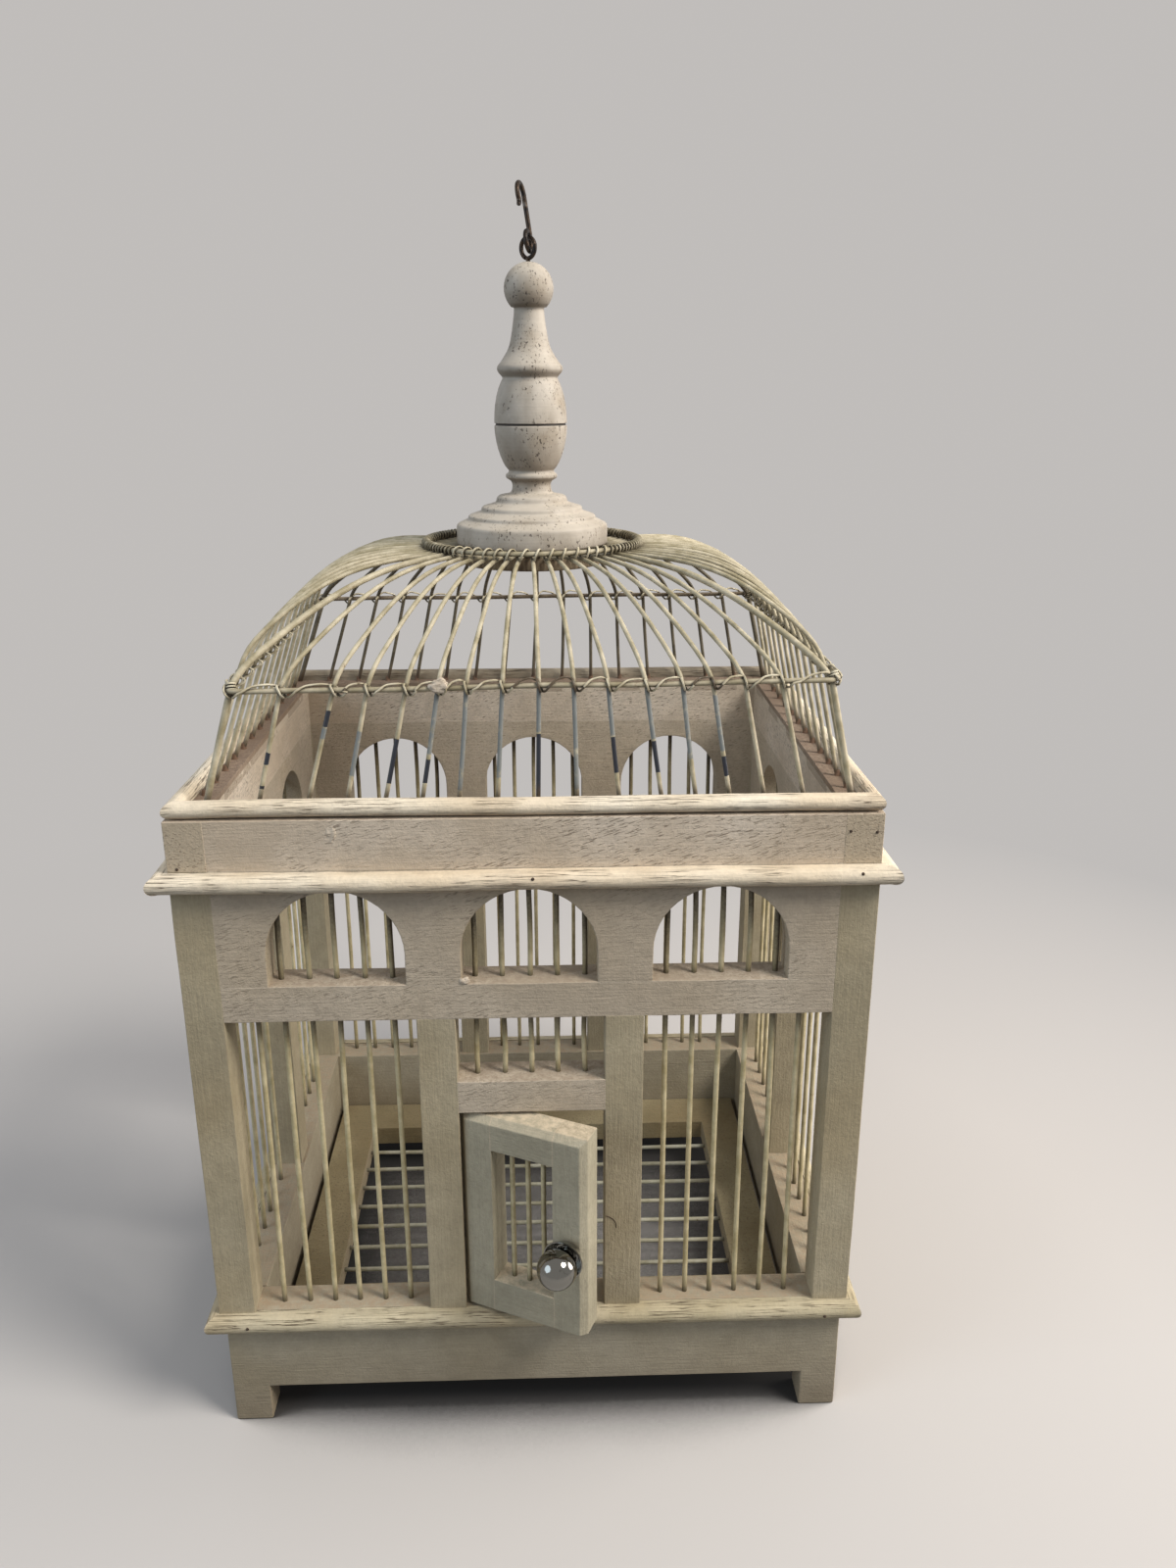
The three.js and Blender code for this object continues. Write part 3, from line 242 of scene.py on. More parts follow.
def makeWood(name, axis, look):
    # thin matt paint on sawn softwood: even, with fine grain, slanting fibres, long cracks, dust and painted
    # top light on top, worn edges with a painted highlight, dirt and painted shade in creases and low down
    finish = newFinish(name)
    broad = finish.cloud(48, 2.0, 0.5)
    patch = finish.cloud(85, 2.0, 0.5, shift=(0.31, 0.07, 0.53))
    grain = finish.cloud(stretched(axis, 22, 0.8), 3.0, 0.6)
    canvas = finish.cloud(1.5, 3.0, 0.62)
    brush = finish.cloud(stretched(axis, 14, 1.1), 2.0, 0.55, shift=(0.07, 0.03, 0.011))
    stipple = finish.cloud(0.7, 2.0)
    lines = finish.cloud(stretched(axis, 58, 1.4), 3.0, 0.55, shift=(0.04, 0.077, 0.022))
    fibres = finish.cloud(fibreLengths[axis], 1.5, 0.5, fibreTurns[axis])
    stains = finish.cloud(7, 4.0, 0.65, shift=(0.05, 0.12, 0.02))
    crack = 1 - abs(lines - 0.5).over(0.0, 0.02)
    crack = crack * finish.cloud(24, 1.0, shift=(0.09, 0.01, 0.04)).over(0.40, 0.12)
    fleck = fibres.over(0.585, 0.07) * broad.over(0.34, 0.2)
    colour = finish.mix(broad.over(0.36, 0.28), look["deep"], look["light"])
    colour = finish.mix(patch.over(0.46, 0.25) * look["tanShare"], colour, look["tan"])
    endGrain = abs(finish.facing("xyz".index(axis))).over(0.7, 0.2)
    colour = finish.mix(endGrain * 0.7, colour, look["end"])
    colour = finish.shade(colour, 1 - look["grain"] + grain * 2 * look["grain"])
    colour = finish.shade(colour, 0.80 + canvas * 0.26 + brush * 0.14)
    colour = finish.shade(colour, 0.80 + stains * 0.40)
    # lighter along convex edges: worn paint together with a painted highlight on the edges
    wear = (1 - finish.corner(1.2, True)).over(0.50, 0.35)
    colour = finish.mix(wear * 0.4, colour, look["worn"])
    colour = finish.mix(crack * look["cracks"], colour, look["fleck"])
    colour = finish.mix(fleck * look["flecks"], colour, look["fleck"])
    place = finish.node("ShaderNodeTexCoord", {}, {}, "Object")
    along = abs(finish.node("ShaderNodeSeparateXYZ", {}, {0: place}, "xyz".index(axis)))
    height = finish.node("ShaderNodeSeparateXYZ", {}, {0: place}, 2)
    # darker towards the ends of the board
    colour = finish.mix(along.over(0.08, 0.06) * look["endDarkening"], colour, look["tan"])
    # darker towards the bottom of the piece: grime together with painted shade low down
    colour = finish.mix((1 - height.over(0.006, 0.04)) * look["lowGrimeAndShade"], colour, look["dirtAndShade"])
    # darker in creases, corners and between parts: dirt together with painted shade
    creaseDirtAndShade = (1 - finish.corner(5)).over(0.45, 0.5) * (0.3 + broad)
    colour = finish.mix(creaseDirtAndShade * 0.4, colour, look["dirtAndShade"])
    # upward faces take dust; on the door its colour is lighter than the paint, a painted top light
    dustAndTopLightFilm = finish.facing(2).over(0.6, 0.35) * finish.cloud(3.6, 4.0, 0.7).over(0.34, 0.28) * look["dustAndTopLightShare"]
    colour = finish.mix(dustAndTopLightFilm, colour, look["dustAndTopLight"])
    rough = look["roughness"] + (stipple - 0.5) * 0.2 + dustAndTopLightFilm * 0.1
    bump = grain * 0.3 + canvas * 1.1 + brush * 0.9 + stipple * 0.4
    bump = bump - crack * 1.4 * look["cracks"] - fleck * 0.6 * look["flecks"]
    return finish.close(colour, rough, bump, 0.26, 0.9)


# gap is the colour of the painted shade between crowded wires
wirePaint = dict(
    light=tone(200, 190, 164), deep=tone(152, 142, 112), brown=tone(132, 102, 66), steel=tone(34, 38, 48),
    blue=tone(112, 120, 124), rust=tone(88, 62, 46), gap=tone(64, 56, 42), roughness=0.45, chips=0.72,
)
# a darker copy of the wire paint for the back wires: painted shade
shadedBackWirePaint = dict(wirePaint, light=tone(112, 104, 86), deep=tone(84, 77, 62), brown=tone(76, 60, 44))
# its rust colour also darkens the bars' upper ends, partly as painted shade
barPaint = dict(wirePaint, light=tone(204, 192, 156), deep=tone(170, 157, 119), steel=tone(58, 50, 40),
                rust=tone(60, 52, 40), chips=0.74)
floorWirePaint = dict(wirePaint, light=tone(198, 196, 178), deep=tone(170, 164, 138), rust=tone(64, 50, 38))
tiePaint = dict(wirePaint, light=tone(220, 211, 186), deep=tone(176, 164, 134), steel=tone(92, 79, 62),
                blue=tone(112, 104, 80), brown=tone(104, 80, 54), chips=0.66)


def makeWire(name, look):
    # brushed paint on steel wire: bare, blue-grey and rusty where the piece's points say so
    finish = newFinish(name)
    cloud = finish.cloud((9, 9, 9), 3.0, 0.6)
    fine = finish.cloud(1.1, 3.0, 0.6)
    chipCloud = finish.cloud(4.6, 4.0, 0.65, shift=(0.02, 0.05, 0.01))
    bare = (finish.painted("bare") + (chipCloud - 0.5) * 0.7).over(0.5, 0.08)
    blue = (finish.painted("blue") + (chipCloud - 0.5) * 1.2).over(0.45, 0.3)
    rust = (finish.painted("rust") * (0.5 + fine * 1.2)).held()
    chip = chipCloud.over(look["chips"], 0.02)
    colour = finish.mix(cloud.over(0.35, 0.3), look["deep"], look["light"])
    colour = finish.shade(colour, 0.88 + fine * 0.24)
    colour = finish.mix(chipCloud.over(look["chips"] - 0.08, 0.08) * 0.5, colour, look["brown"])
    colour = finish.mix(blue * 0.85, colour, look["blue"])
    colour = finish.mix((chip + bare).held(), colour, look["steel"])
    colour = finish.mix(rust, colour, look["rust"])
    # darker where wires crowd each other: painted shade between the wires
    colour = finish.mix((1 - finish.corner(8)).over(0.08, 0.45) * 0.9, colour, look["gap"])
    bump = fine * 0.6 - (chip + bare).held() + rust * fine
    return finish.close(colour, look["roughness"] + fine * 0.2 - bare * 0.15, bump, 0.12, 0.7)


turnedPaint = dict(
    light=tone(188, 180, 168), deep=tone(158, 149, 136), tan=tone(156, 138, 112), speck=tone(70, 61, 53),
    dirtAndShade=tone(86, 71, 54), dustAndTopLight=tone(206, 196, 180), line=tone(44, 38, 34), roughness=0.5,
)


def makeTurned(name, look):
    # paint on turned wood: rings round the axis, dark specks where it has flaked, dirt and painted shade in
    # the grooves, painted shade on the undersides, dust and painted top light on upward faces
    finish = newFinish(name)
    mottle = finish.cloud((16, 16, 24), 4.0, 0.6)
    rings = finish.cloud((25, 25, 0.85), 2.0, 0.6)
    fine = finish.cloud(0.9, 2.0)
    specks = finish.cloud((1.1, 1.1, 1.9), 2.0, 0.6)
    worn = finish.cloud(13, 2.0, shift=(0.04, 0.04, 0.09))
    speck = specks.over(0.61, 0.04) * worn.over(0.40, 0.12)
    splits = finish.cloud((2.4, 2.4, 60), 2.0, 0.5, shift=(0.01, 0.03, 0.08))
    split = (1 - abs(splits - 0.5).over(0.0, 0.005)) * worn.over(0.55, 0.05)
    colour = finish.mix(mottle.over(0.36, 0.3), look["deep"], look["light"])
    colour = finish.mix(worn.over(0.5, 0.25) * 0.4, colour, look["tan"])
    colour = finish.shade(colour, 0.93 + rings * 0.14)
    # upward faces lighter: dust together with painted top light
    colour = finish.mix(finish.facing(2).over(0.35, 0.5) * 0.5, colour, look["dustAndTopLight"])
    # undersides darker: painted shade
    colour = finish.mix((0 - finish.facing(2)).over(0.05, 0.7) * 0.6, colour, look["dirtAndShade"])
    # grooves darker: dirt together with painted shade
    colour = finish.mix((1 - finish.corner(6)).over(0.3, 0.5) * 0.7, colour, look["dirtAndShade"])
    colour = finish.mix((speck + split * 0.8).held() * 0.85, colour, look["speck"])
    colour = finish.mix(finish.painted("line"), colour, look["line"])
    bump = rings * 0.7 + fine * 0.4 - speck - split
    return finish.close(colour, look["roughness"] + fine * 0.2, bump, 0.15, 0.7)


def makeDisc(name):
    # the disc under the crown, its end grain streaked and hardly painted
    finish = newFinish(name)
    streak = finish.cloud((1.9, 1.9, 16), 3.0, 0.6)
    mottle = finish.cloud(14, 3.0)
    colour = finish.mix(streak.over(0.38, 0.25), tone(96, 80, 62), tone(150, 134, 110))
    colour = finish.mix(mottle.over(0.55, 0.15) * 0.5, colour, tone(176, 162, 138))
    return finish.close(colour, 0.8, streak, 0.2, 0.7)


darkSteel = dict(dark=tone(38, 36, 36), warm=tone(70, 58, 48), pale=tone(112, 108, 104))


def makeSteel(name, look):
    finish = newFinish(name)
    cloud = finish.cloud(3.8, 3.0, 0.6)
    fine = finish.cloud(0.7, 2.0)
    colour = finish.mix(cloud.over(0.4, 0.2), look["dark"], look["warm"])
    colour = finish.mix(cloud.over(0.62, 0.05) * 0.6, colour, look["pale"])
    return finish.close(colour, 0.32 + fine * 0.2, fine + cloud, 0.1, 0.5, 0.85)


def makeChrome(name):
    finish = newFinish(name)
    cloud = finish.cloud(3.1, 4.0, 0.65)
    stain = cloud.over(0.6, 0.1)
    # the chrome's tint is darkened to stand in for the dark surroundings it mirrors: painted reflection; the
    # stains are tarnish
    colour = finish.mix(stain * 0.7, tone(132, 131, 126), tone(64, 61, 54))
    return finish.close(colour, 0.07 + stain * 0.25, cloud, 0.12, 0.5, 1.0)


def makeStain(name, colour):
    finish = newFinish(name)
    fine = finish.cloud(0.7, 2.0)
    return finish.close(finish.shade(colour, 0.6 + fine * 0.8), 0.85, fine, 0.1, 0.5)


def makeWoods(stem, axes, look):
    # the same paint for boards along each of the axes
    return {axis: makeWood(stem + "Along" + axis.upper(), axis, look) for axis in axes}


plainWood = makeWoods("paintedWood", "xy", woodPaint)
friezeWood = makeWoods("paintedFrieze", "xy", friezePaint)
trimWood = makeWoods("paintedTrim", "xy", trimPaint)
baseWood = makeWoods("paintedBase", "xy", basePaint)
shelfWood = makeWoods("dustyShelf", "xy", shelfPaint)
apronWood = makeWoods("paintedApron", "xy", apronPaint)
doorWood = makeWoods("paintedDoor", "xz", doorPaint)
postWood = makeWood("paintedPosts", "z", postPaint)
backTrim = makeWood("paintedBackTrim", "x", backTrimPaint)
floorWood = makeWood("paintedFloor", "x", floorPaint)
domeWirePaint = makeWire("domeWirePaint", wirePaint)
shadedBackWire = makeWire("shadedBackWirePaint", shadedBackWirePaint)
barWirePaint = makeWire("barPaint", barPaint)
floorWire = makeWire("floorWirePaint", floorWirePaint)
tieWire = makeWire("tieWirePaint", tiePaint)
turnedWood = makeTurned("turnedPaint", turnedPaint)
discWood = makeDisc("crownDiscWood")
steel = makeSteel("darkSteel", darkSteel)
chrome = makeChrome("knobChrome")
nailDark = makeStain("nailRust", tone(62, 48, 38))
footStain = makeStain("footRust", tone(112, 88, 70))
print("finishes made")


# Meshes

def addObject(name, data):
    made = bpy.data.objects.new(name, data)
    bpy.context.scene.collection.objects.link(made)
    return made


def addPiece(name, bm, finish, matrix=None, sharp=38, even=True):
    bmesh.ops.recalc_face_normals(bm, faces=bm.faces[:])
    mesh = bpy.data.meshes.new(name)
    bm.to_mesh(mesh)
    bm.free()
    for polygon in mesh.polygons:
        polygon.use_smooth = True
    mesh.set_sharp_from_angle(angle=math.radians(sharp))
    mesh.materials.append(finish)
    piece = addObject(name, mesh)
    if matrix is not None:
        piece.matrix_world = matrix
    if even:
        normals = piece.modifiers.new("evenNormals", "WEIGHTED_NORMAL")
        normals.keep_sharp = True
    return piece


def fit(piece, nodes=(), body="cage"):
    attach(piece, body)
    if nodes:
        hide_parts(*nodes)
    return piece


boardWork = dict(edge=0.4, join=0.6, tightJoin=0.1, step=5.0, plateEdge=0.6, plateStep=9, stripStep=4,
                 slow=0.14, slowWave=0.03, quick=0.05, quickWave=0.0045, lastSeed=50)
seeds = random.Random(11)
noise.seed_set(11)  # noise_vector differs from one run to the next without it


def nudge(bm, seed=None):
    # no edge of the real boards is dead straight, and each board is bent in its own way
    seed = seeds.uniform(0, boardWork["lastSeed"]) if seed is None else seed
    shift = Vector((seed * 0.37, seed * 0.61, seed * 0.13))
    for vert in bm.verts:
        slow = noise.noise_vector(vert.co / boardWork["slowWave"] + shift)
        quick = noise.noise_vector(vert.co / boardWork["quickWave"] + shift)
        vert.co += slow * boardWork["slow"] * mm + quick * boardWork["quick"] * mm
        vert.co.z = max(0.0, vert.co.z)


def cutUp(bm, axis, step):
    # short lengths along one axis, so that the nudging has points to move
    low = min(vert.co[axis] for vert in bm.verts)
    high = max(vert.co[axis] for vert in bm.verts)
    count = max(1, int((high - low) / (step * mm)))
    normal = Vector((0, 0, 0))
    normal[axis] = 1
    for i in range(1, count):
        place = Vector((0, 0, 0))
        place[axis] = low + (high - low) * i / count
        geometry = bm.verts[:] + bm.edges[:] + bm.faces[:]
        bmesh.ops.bisect_plane(bm, geom=geometry, dist=1e-7, plane_co=place, plane_no=normal)


def softenEdges(bm, width, segments=3, least=30):
    sharpEdges = [edge for edge in bm.edges
                  if len(edge.link_faces) == 2 and edge.calc_face_angle(0) > math.radians(least)]
    bmesh.ops.bevel(bm, geom=sharpEdges, offset=width * mm, segments=segments, profile=0.5,
                    affect="EDGES", clamp_overlap=True)


def boxMesh(low, high):
    bm = bmesh.new()
    bmesh.ops.create_cube(bm, size=1.0)
    bmesh.ops.scale(bm, vec=high - low, verts=bm.verts[:])
    bmesh.ops.translate(bm, vec=(low + high) / 2, verts=bm.verts[:])
    return bm


def skin(bm, rings, closed=False, ends=True):
    # faces from each ring to the next; a ring of a single point closes to a tip
    pairs = list(zip(rings, rings[1:]))
    if closed:
        pairs.append((rings[-1], rings[0]))
    for first, second in pairs:
        count = max(len(first), len(second))
        for k in range(count):
            nextK = (k + 1) % count
            corners = (first[k % len(first)], first[nextK % len(first)],
                       second[nextK % len(second)], second[k % len(second)])
            bm.faces.new(list(dict.fromkeys(corners)))
    if ends and not closed:
        bm.faces.new(rings[0][::-1])
        bm.faces.new(rings[-1])


def around(count):
    # the angles of a full turn in even steps
    return [k * fullTurn / count for k in range(count)]


def arc(across, up, radius, start, end, steps, high=None):
    # flat points round a middle between two angles in degrees, on an ellipse where a height is given
    points = []
    for i in range(steps + 1):
        angle = math.radians(start + (end - start) * i / steps)
        points.append((across + radius * math.cos(angle), up + (high or radius) * math.sin(angle)))
    return points


def board(name, low, high, axis, finish, nodes=(), edge=boardWork["edge"], join=boardWork["join"]):
    # its ends reach into the joints, which show as fine lines only
    along = "xyz".index(axis)
    low[along] -= join * mm
    high[along] += join * mm
    bm = boxMesh(low, high)
    softenEdges(bm, edge)
    cutUp(bm, along, boardWork["step"])
    nudge(bm)
    return fit(addPiece(name, bm, finish), nodes)


def plate(name, outline, front, thick, turn, finish, node, edge=boardWork["plateEdge"]):
    # a flat shape cut from a board: the outline is across and up, the board goes back from its front
    bm = bmesh.new()
    near = [bm.verts.new(spot(x, front, z)) for x, z in outline]
    far = [bm.verts.new(spot(x, front + thick, z)) for x, z in outline]
    bm.faces.new(near)
    bm.faces.new(far[::-1])
    skin(bm, [far, near], ends=False)
    bmesh.ops.recalc_face_normals(bm, faces=bm.faces[:])
    softenEdges(bm, edge, 2)
    for axis in (0, 2):
        cutUp(bm, axis, boardWork["plateStep"])
    nudge(bm)
    bmesh.ops.transform(bm, matrix=sideMatrix(turn), verts=bm.verts[:])
    return fit(addPiece(name, bm, finish), [node])


def strip(name, outline, half, face, bottom, turn, finish, node, bow=0.0):
    # a moulding with mitred ends: the outline gives its reach outward and its height
    bm = bmesh.new()
    count = int(2 * half / boardWork["stripStep"])
    rings = []
    for i in range(count + 1):
        share = 2 * i / count - 1
        lift = bow * noise.noise(Vector((share * 2.3, bottom * 0.1, turn * 3.7)))
        rings.append([bm.verts.new(spot(share * (half + out), -face - out, bottom + up + lift))
                      for out, up in outline])
    skin(bm, rings)
    nudge(bm)
    bmesh.ops.transform(bm, matrix=sideMatrix(turn), verts=bm.verts[:])
    return fit(addPiece(name, bm, finish, sharp=50), [node])


def slackWire(start, end, bend, steps):
    # points along a nearly straight wire, pushed aside in its middle by the bend
    points = []
    for k in range(steps + 1):
        share = k / steps
        points.append(start + (end - start) * share + bend * math.sin(math.pi * share))
    return points


def addTube(bm, points, radius, sides=10, closed=False, marks=None):
    # a round wire along points; marks gives how bare, rusty and blue-grey it is at each point
    layers = []
    for key in ("bare", "rust", "blue"):
        layers.append(bm.verts.layers.float.get(key) or bm.verts.layers.float.new(key))
    last = len(points) - 1
    side = None
    rings = []
    for i, point in enumerate(points):
        before = points[i - 1] if i > 0 else (points[last] if closed else points[0])
        after = points[i + 1] if i < last else (points[0] if closed else points[last])
        way = (after - before).normalized()
        if side is None:
            helper = Vector((0, 0, 1)) if abs(way.z) < 0.9 else Vector((1, 0, 0))
            side = way.cross(helper).normalized()
        side = (side - way * side.dot(way)).normalized()
        up = way.cross(side)
        thick = radius[i] if isinstance(radius, list) else radius
        ring = []
        for angle in around(sides):
            vert = bm.verts.new(point + (side * math.cos(angle) + up * math.sin(angle)) * thick * mm)
            for layer, mark in zip(layers, marks[i] if marks else ()):
                vert[layer] = mark
            ring.append(vert)
        rings.append(ring)
    skin(bm, rings, closed)


def turnedPiece(name, outline, place, finish, node, segments=72, sharp=60, matrix=None, body="cage",
                lineAt=None):
    # turned about an upright axis: the outline gives radii and heights, lineAt the heights of a drawn line
    bm = bmesh.new()
    line = bm.verts.layers.float.new("line")
    rings = []
    for radius, up in outline:
        if radius < 1e-6:
            rings.append([bm.verts.new(place + Vector((0, 0, up * mm)))])
            continue
        ring = []
        for angle in around(segments):
            out = Vector((radius * math.cos(angle), radius * math.sin(angle), up))
            ring.append(bm.verts.new(place + out * mm))
        if lineAt and lineAt[0] <= up <= lineAt[1]:
            for vert in ring:
                vert[line] = 1
        rings.append(ring)
    skin(bm, rings, ends=False)
    bmesh.ops.remove_doubles(bm, verts=bm.verts[:], dist=1e-6)
    return fit(addPiece(name, bm, finish, matrix, sharp=sharp, even=False), [node], body)


def flatWire(name, flat, matrix, radius, node, body="cage"):
    # a steel wire bent in one plane, given across and up
    bm = bmesh.new()
    addTube(bm, [matrix @ (Vector((across, 0, up)) * mm) for across, up in flat], radius, 12)
    return fit(addPiece(name, bm, steel, sharp=60, even=False), [node], body)


# Cabin boards

for node in ("front_left_post", "front_right_post", "back_left_post", "back_right_post", "front_left_stile",
             "front_right_stile", "back_left_stile", "back_right_stile", "left_stile", "right_stile"):
    low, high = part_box(node)
    board(node.replace("_post", "Post").replace("_stile", "Stile"), low, high, "z", postWood, [node])

low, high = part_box("door_lintel")
board("doorLintel", low, high, "x", plainWood["x"], ["door_lintel"])

cap = dict(wide=7.3, outerRound=4.5, innerRoundHigh=3.6, steps=7, bow=0.5, lift=0.05, shelfThick=4,
           shelfEdge=0.25)

for name, side in sides.items():
    axis = side["axis"]
    low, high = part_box(name + "_frieze")
    high.z = cabin["friezeTop"] * mm
    board(name + "Frieze", low, high, axis, friezeWood[axis], [name + "_frieze"],
          join=boardWork["join" if side["isLong"] else "tightJoin"])
    low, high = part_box(name + "_frieze")
    low.z = (cabin["friezeTop"] - cap["shelfThick"]) * mm
    trim = (cap["wide"] + cabin["gap"]) * mm
    low.y += trim if name != "back" else 0
    high.y -= trim if name != "front" else 0
    low.x += trim if name == "left" else 0
    high.x -= trim if name == "right" else 0
    board(name + "Shelf", low, high, axis, shelfWood[axis], edge=cap["shelfEdge"],
          join=boardWork["tightJoin"])
    low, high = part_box(name + "_rail_and_bars")
    low.z = cabin["railBottom"] * mm
    high.z = cabin["railTop"] * mm
    board(name + "Rail", low, high, axis, plainWood[axis], [name + "_rail_and_bars"])

for name in ("left", "right"):
    low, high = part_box(name + "_apron")
    board(name + "Apron", low, high, "y", apronWood["y"], [name + "_apron"], join=boardWork["tightJoin"])

apronHalf = cabin["width"] / 2 - cabin["apronInset"]
apronClear = apronHalf - cabin["footWidth"]
apronOutline = [
    (-apronHalf, 0), (-apronClear, 0), (-apronClear, cabin["footTop"]), (apronClear, cabin["footTop"]),
    (apronClear, 0), (apronHalf, 0), (apronHalf, cabin["apronTop"]), (-apronHalf, cabin["apronTop"]),
]
for name in ("front", "back"):
    plate(name + "Apron", apronOutline, -cabin["depth"] / 2 + cabin["apronInset"], cabin["apronThick"],
          sides[name]["turn"], apronWood["x"], name + "_apron", cabin["apronEdge"])
print("boards made")

# Arch boards

arches = dict(thick=16.5, half=29.5, centres=dict(x=(-83, 0, 83), y=(-41.5, 41.5)), top=282, low=237.3,
              high=292.6, join=0.8, steps=22)


def archOutline(half, centres):
    half += arches["join"]
    radius = arches["half"]
    outline = [(-half, arches["low"])]
    for centre in centres:
        outline.append((centre - radius, arches["low"]))
        outline += arc(centre, arches["top"] - radius, radius, 180, 0, arches["steps"])
        outline.append((centre + radius, arches["low"]))
    return outline + [(half, arches["low"]), (half, arches["high"]), (-half, arches["high"])]


for name, side in sides.items():
    outline = archOutline(side["half"] - cabin["post"] - cabin["gap"], arches["centres"][side["axis"]])
    plate(name + "ArchBoard", outline, -side["out"], arches["thick"], side["turn"], plainWood[side["axis"]],
          name + "_arch_board")
print("arch boards made")

# Mouldings and caps

bead = dict(baseHigh=9, baseReach=7.7, corniceHigh=8, corniceReach=7.4, steps=12, bow=0.7)


def beadOutline(reach, high):
    middle = high / 2
    return [(0, 0), *arc(reach - middle, middle, middle, -90, 90, bead["steps"]), (0, high)]


def capOutline():
    # the bead along the frieze's outer top edge: full and round outside, its crest steep inside
    high = cabin["capTop"] - cabin["friezeTop"] - cap["lift"]
    crest = cap["wide"] - cap["outerRound"]
    inner = cap["innerRoundHigh"]
    outline = [(0, 0), (crest, 0)]
    outline += arc(crest, high / 2, cap["outerRound"], -90, 90, 2 * cap["steps"], high / 2)[1:]
    return outline + arc(crest, high - inner, crest, 90, 180, cap["steps"], inner)[1:]


for name, side in sides.items():
    half = side["half"]
    out = side["out"]
    turn = side["turn"]
    gap = cabin["gap"]
    inset = cabin["apronInset"]
    paint = trimWood[side["axis"]]
    strip(name + "BaseMoulding", beadOutline(bead["baseReach"], bead["baseHigh"]), half - inset + gap,
          out - inset + gap, cabin["apronTop"] - bead["baseHigh"], turn, baseWood[side["axis"]],
          name + "_base_moulding")
    strip(name + "Cornice", beadOutline(bead["corniceReach"], bead["corniceHigh"]), half + gap, out + gap,
          cabin["friezeBottom"] - bead["corniceHigh"], turn, paint, name + "_cornice", bead["bow"])
    strip(name + "CapBead", capOutline(), half - cap["wide"], out - cap["wide"],
          cabin["friezeTop"] + cap["lift"], turn, backTrim if name == "back" else paint, name + "_cap_board",
          cap["bow"])
print("mouldings made")

# Floor with its wires

floorBoard = dict(top=29, thick=12, openX=106, openFront=-63, openBack=79, edge=0.6, step=10, seed=3.3,
                  wires=7, wireRadius=1.2, drop=6, hold=3, sag=0.5, sway=0.7, wireSteps=16)


def makeFloor():
    # a panel with an opening, and the wires across the opening
    low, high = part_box("floor_panel")
    top = floorBoard["top"] * mm
    inner = [spot(-floorBoard["openX"], floorBoard["openFront"], 0),
             spot(floorBoard["openX"], floorBoard["openBack"], 0)]
    bm = bmesh.new()
    loops = []
    for z in (top - floorBoard["thick"] * mm, top):
        for a, b in ((low, high), inner):
            corners = ((a.x, a.y), (b.x, a.y), (b.x, b.y), (a.x, b.y))
            loops.append([bm.verts.new((x, y, z)) for x, y in corners])
    outerLow, innerLow, outerHigh, innerHigh = loops
    skin(bm, [outerHigh, innerHigh, innerLow, outerLow], closed=True)
    bmesh.ops.recalc_face_normals(bm, faces=bm.faces[:])
    softenEdges(bm, floorBoard["edge"], 2)
    for axis in (0, 1):
        cutUp(bm, axis, floorBoard["step"])
    nudge(bm, floorBoard["seed"])
    fit(addPiece("floorPanel", bm, floorWood), ["floor_panel"])
    bm = bmesh.new()
    pitch = (floorBoard["openBack"] - floorBoard["openFront"]) / (floorBoard["wires"] + 1)
    reach = floorBoard["openX"] + floorBoard["hold"]
    z = floorBoard["top"] - floorBoard["drop"]
    for i in range(floorBoard["wires"]):
        y = floorBoard["openFront"] + (i + 1) * pitch
        sag = seeds.uniform(-floorBoard["sag"], floorBoard["sag"])
        sway = seeds.uniform(-floorBoard["sway"], floorBoard["sway"])
        path = slackWire(spot(-reach, y, z), spot(reach, y, z), Vector((0, sway, sag)) * mm,
                         floorBoard["wireSteps"])
        addTube(bm, path, floorBoard["wireRadius"])
    fit(addPiece("floorWires", bm, floorWire))


makeFloor()

# Bars

bars = dict(
    radius=1.2, setback=8, pitch=12.05, bayStart=60.2, sideStart=22.5, sidePitch=13.6, bayCount=6,
    lintelTop=189.4, doorHalf=32.9, bow=0.5, stray=0.35, hold=1, headHold=2, steps=12, railDark=20,
    archDarkFrom=42, archDarkFull=4, footDark=4,
)


def barPlaces(isLong):
    # where a side's bars stand, from its middle
    start = bars["bayStart" if isLong else "sideStart"]
    pitch = bars["pitch" if isLong else "sidePitch"]
    places = [i * pitch for i in range(-2, 3)] if isLong else []
    for i in range(bars["bayCount"]):
        places += [start + i * pitch, -start - i * pitch]
    return sorted(places)


def addBar(bm, x, y, foot, head, mostBow, darkFrom, darkFull):
    # bars darken slowly towards their upper ends under the rail and arches, painted shade together with bare
    # metal, and a little at the foot
    bow = seeds.uniform(-1, 1) * mostBow
    stray = seeds.uniform(-1, 1) * bars["stray"]
    points = slackWire(spot(x - stray / 2, y, foot), spot(x + stray / 2, y, head),
                       Vector((bow, 0.4 * bow, 0)) * mm, bars["steps"])
    marks = []
    for point in points:
        up = (point.z / mm - darkFrom) / (darkFull - darkFrom)
        nearFoot = max(0.0, 1 - (point.z - points[0].z) / (bars["footDark"] * mm))
        marks.append((0.0, max(nearFoot * 0.6, max(0.0, min(1.0, up)) * 0.8), 0.0))
    addTube(bm, points, bars["radius"], marks=marks)


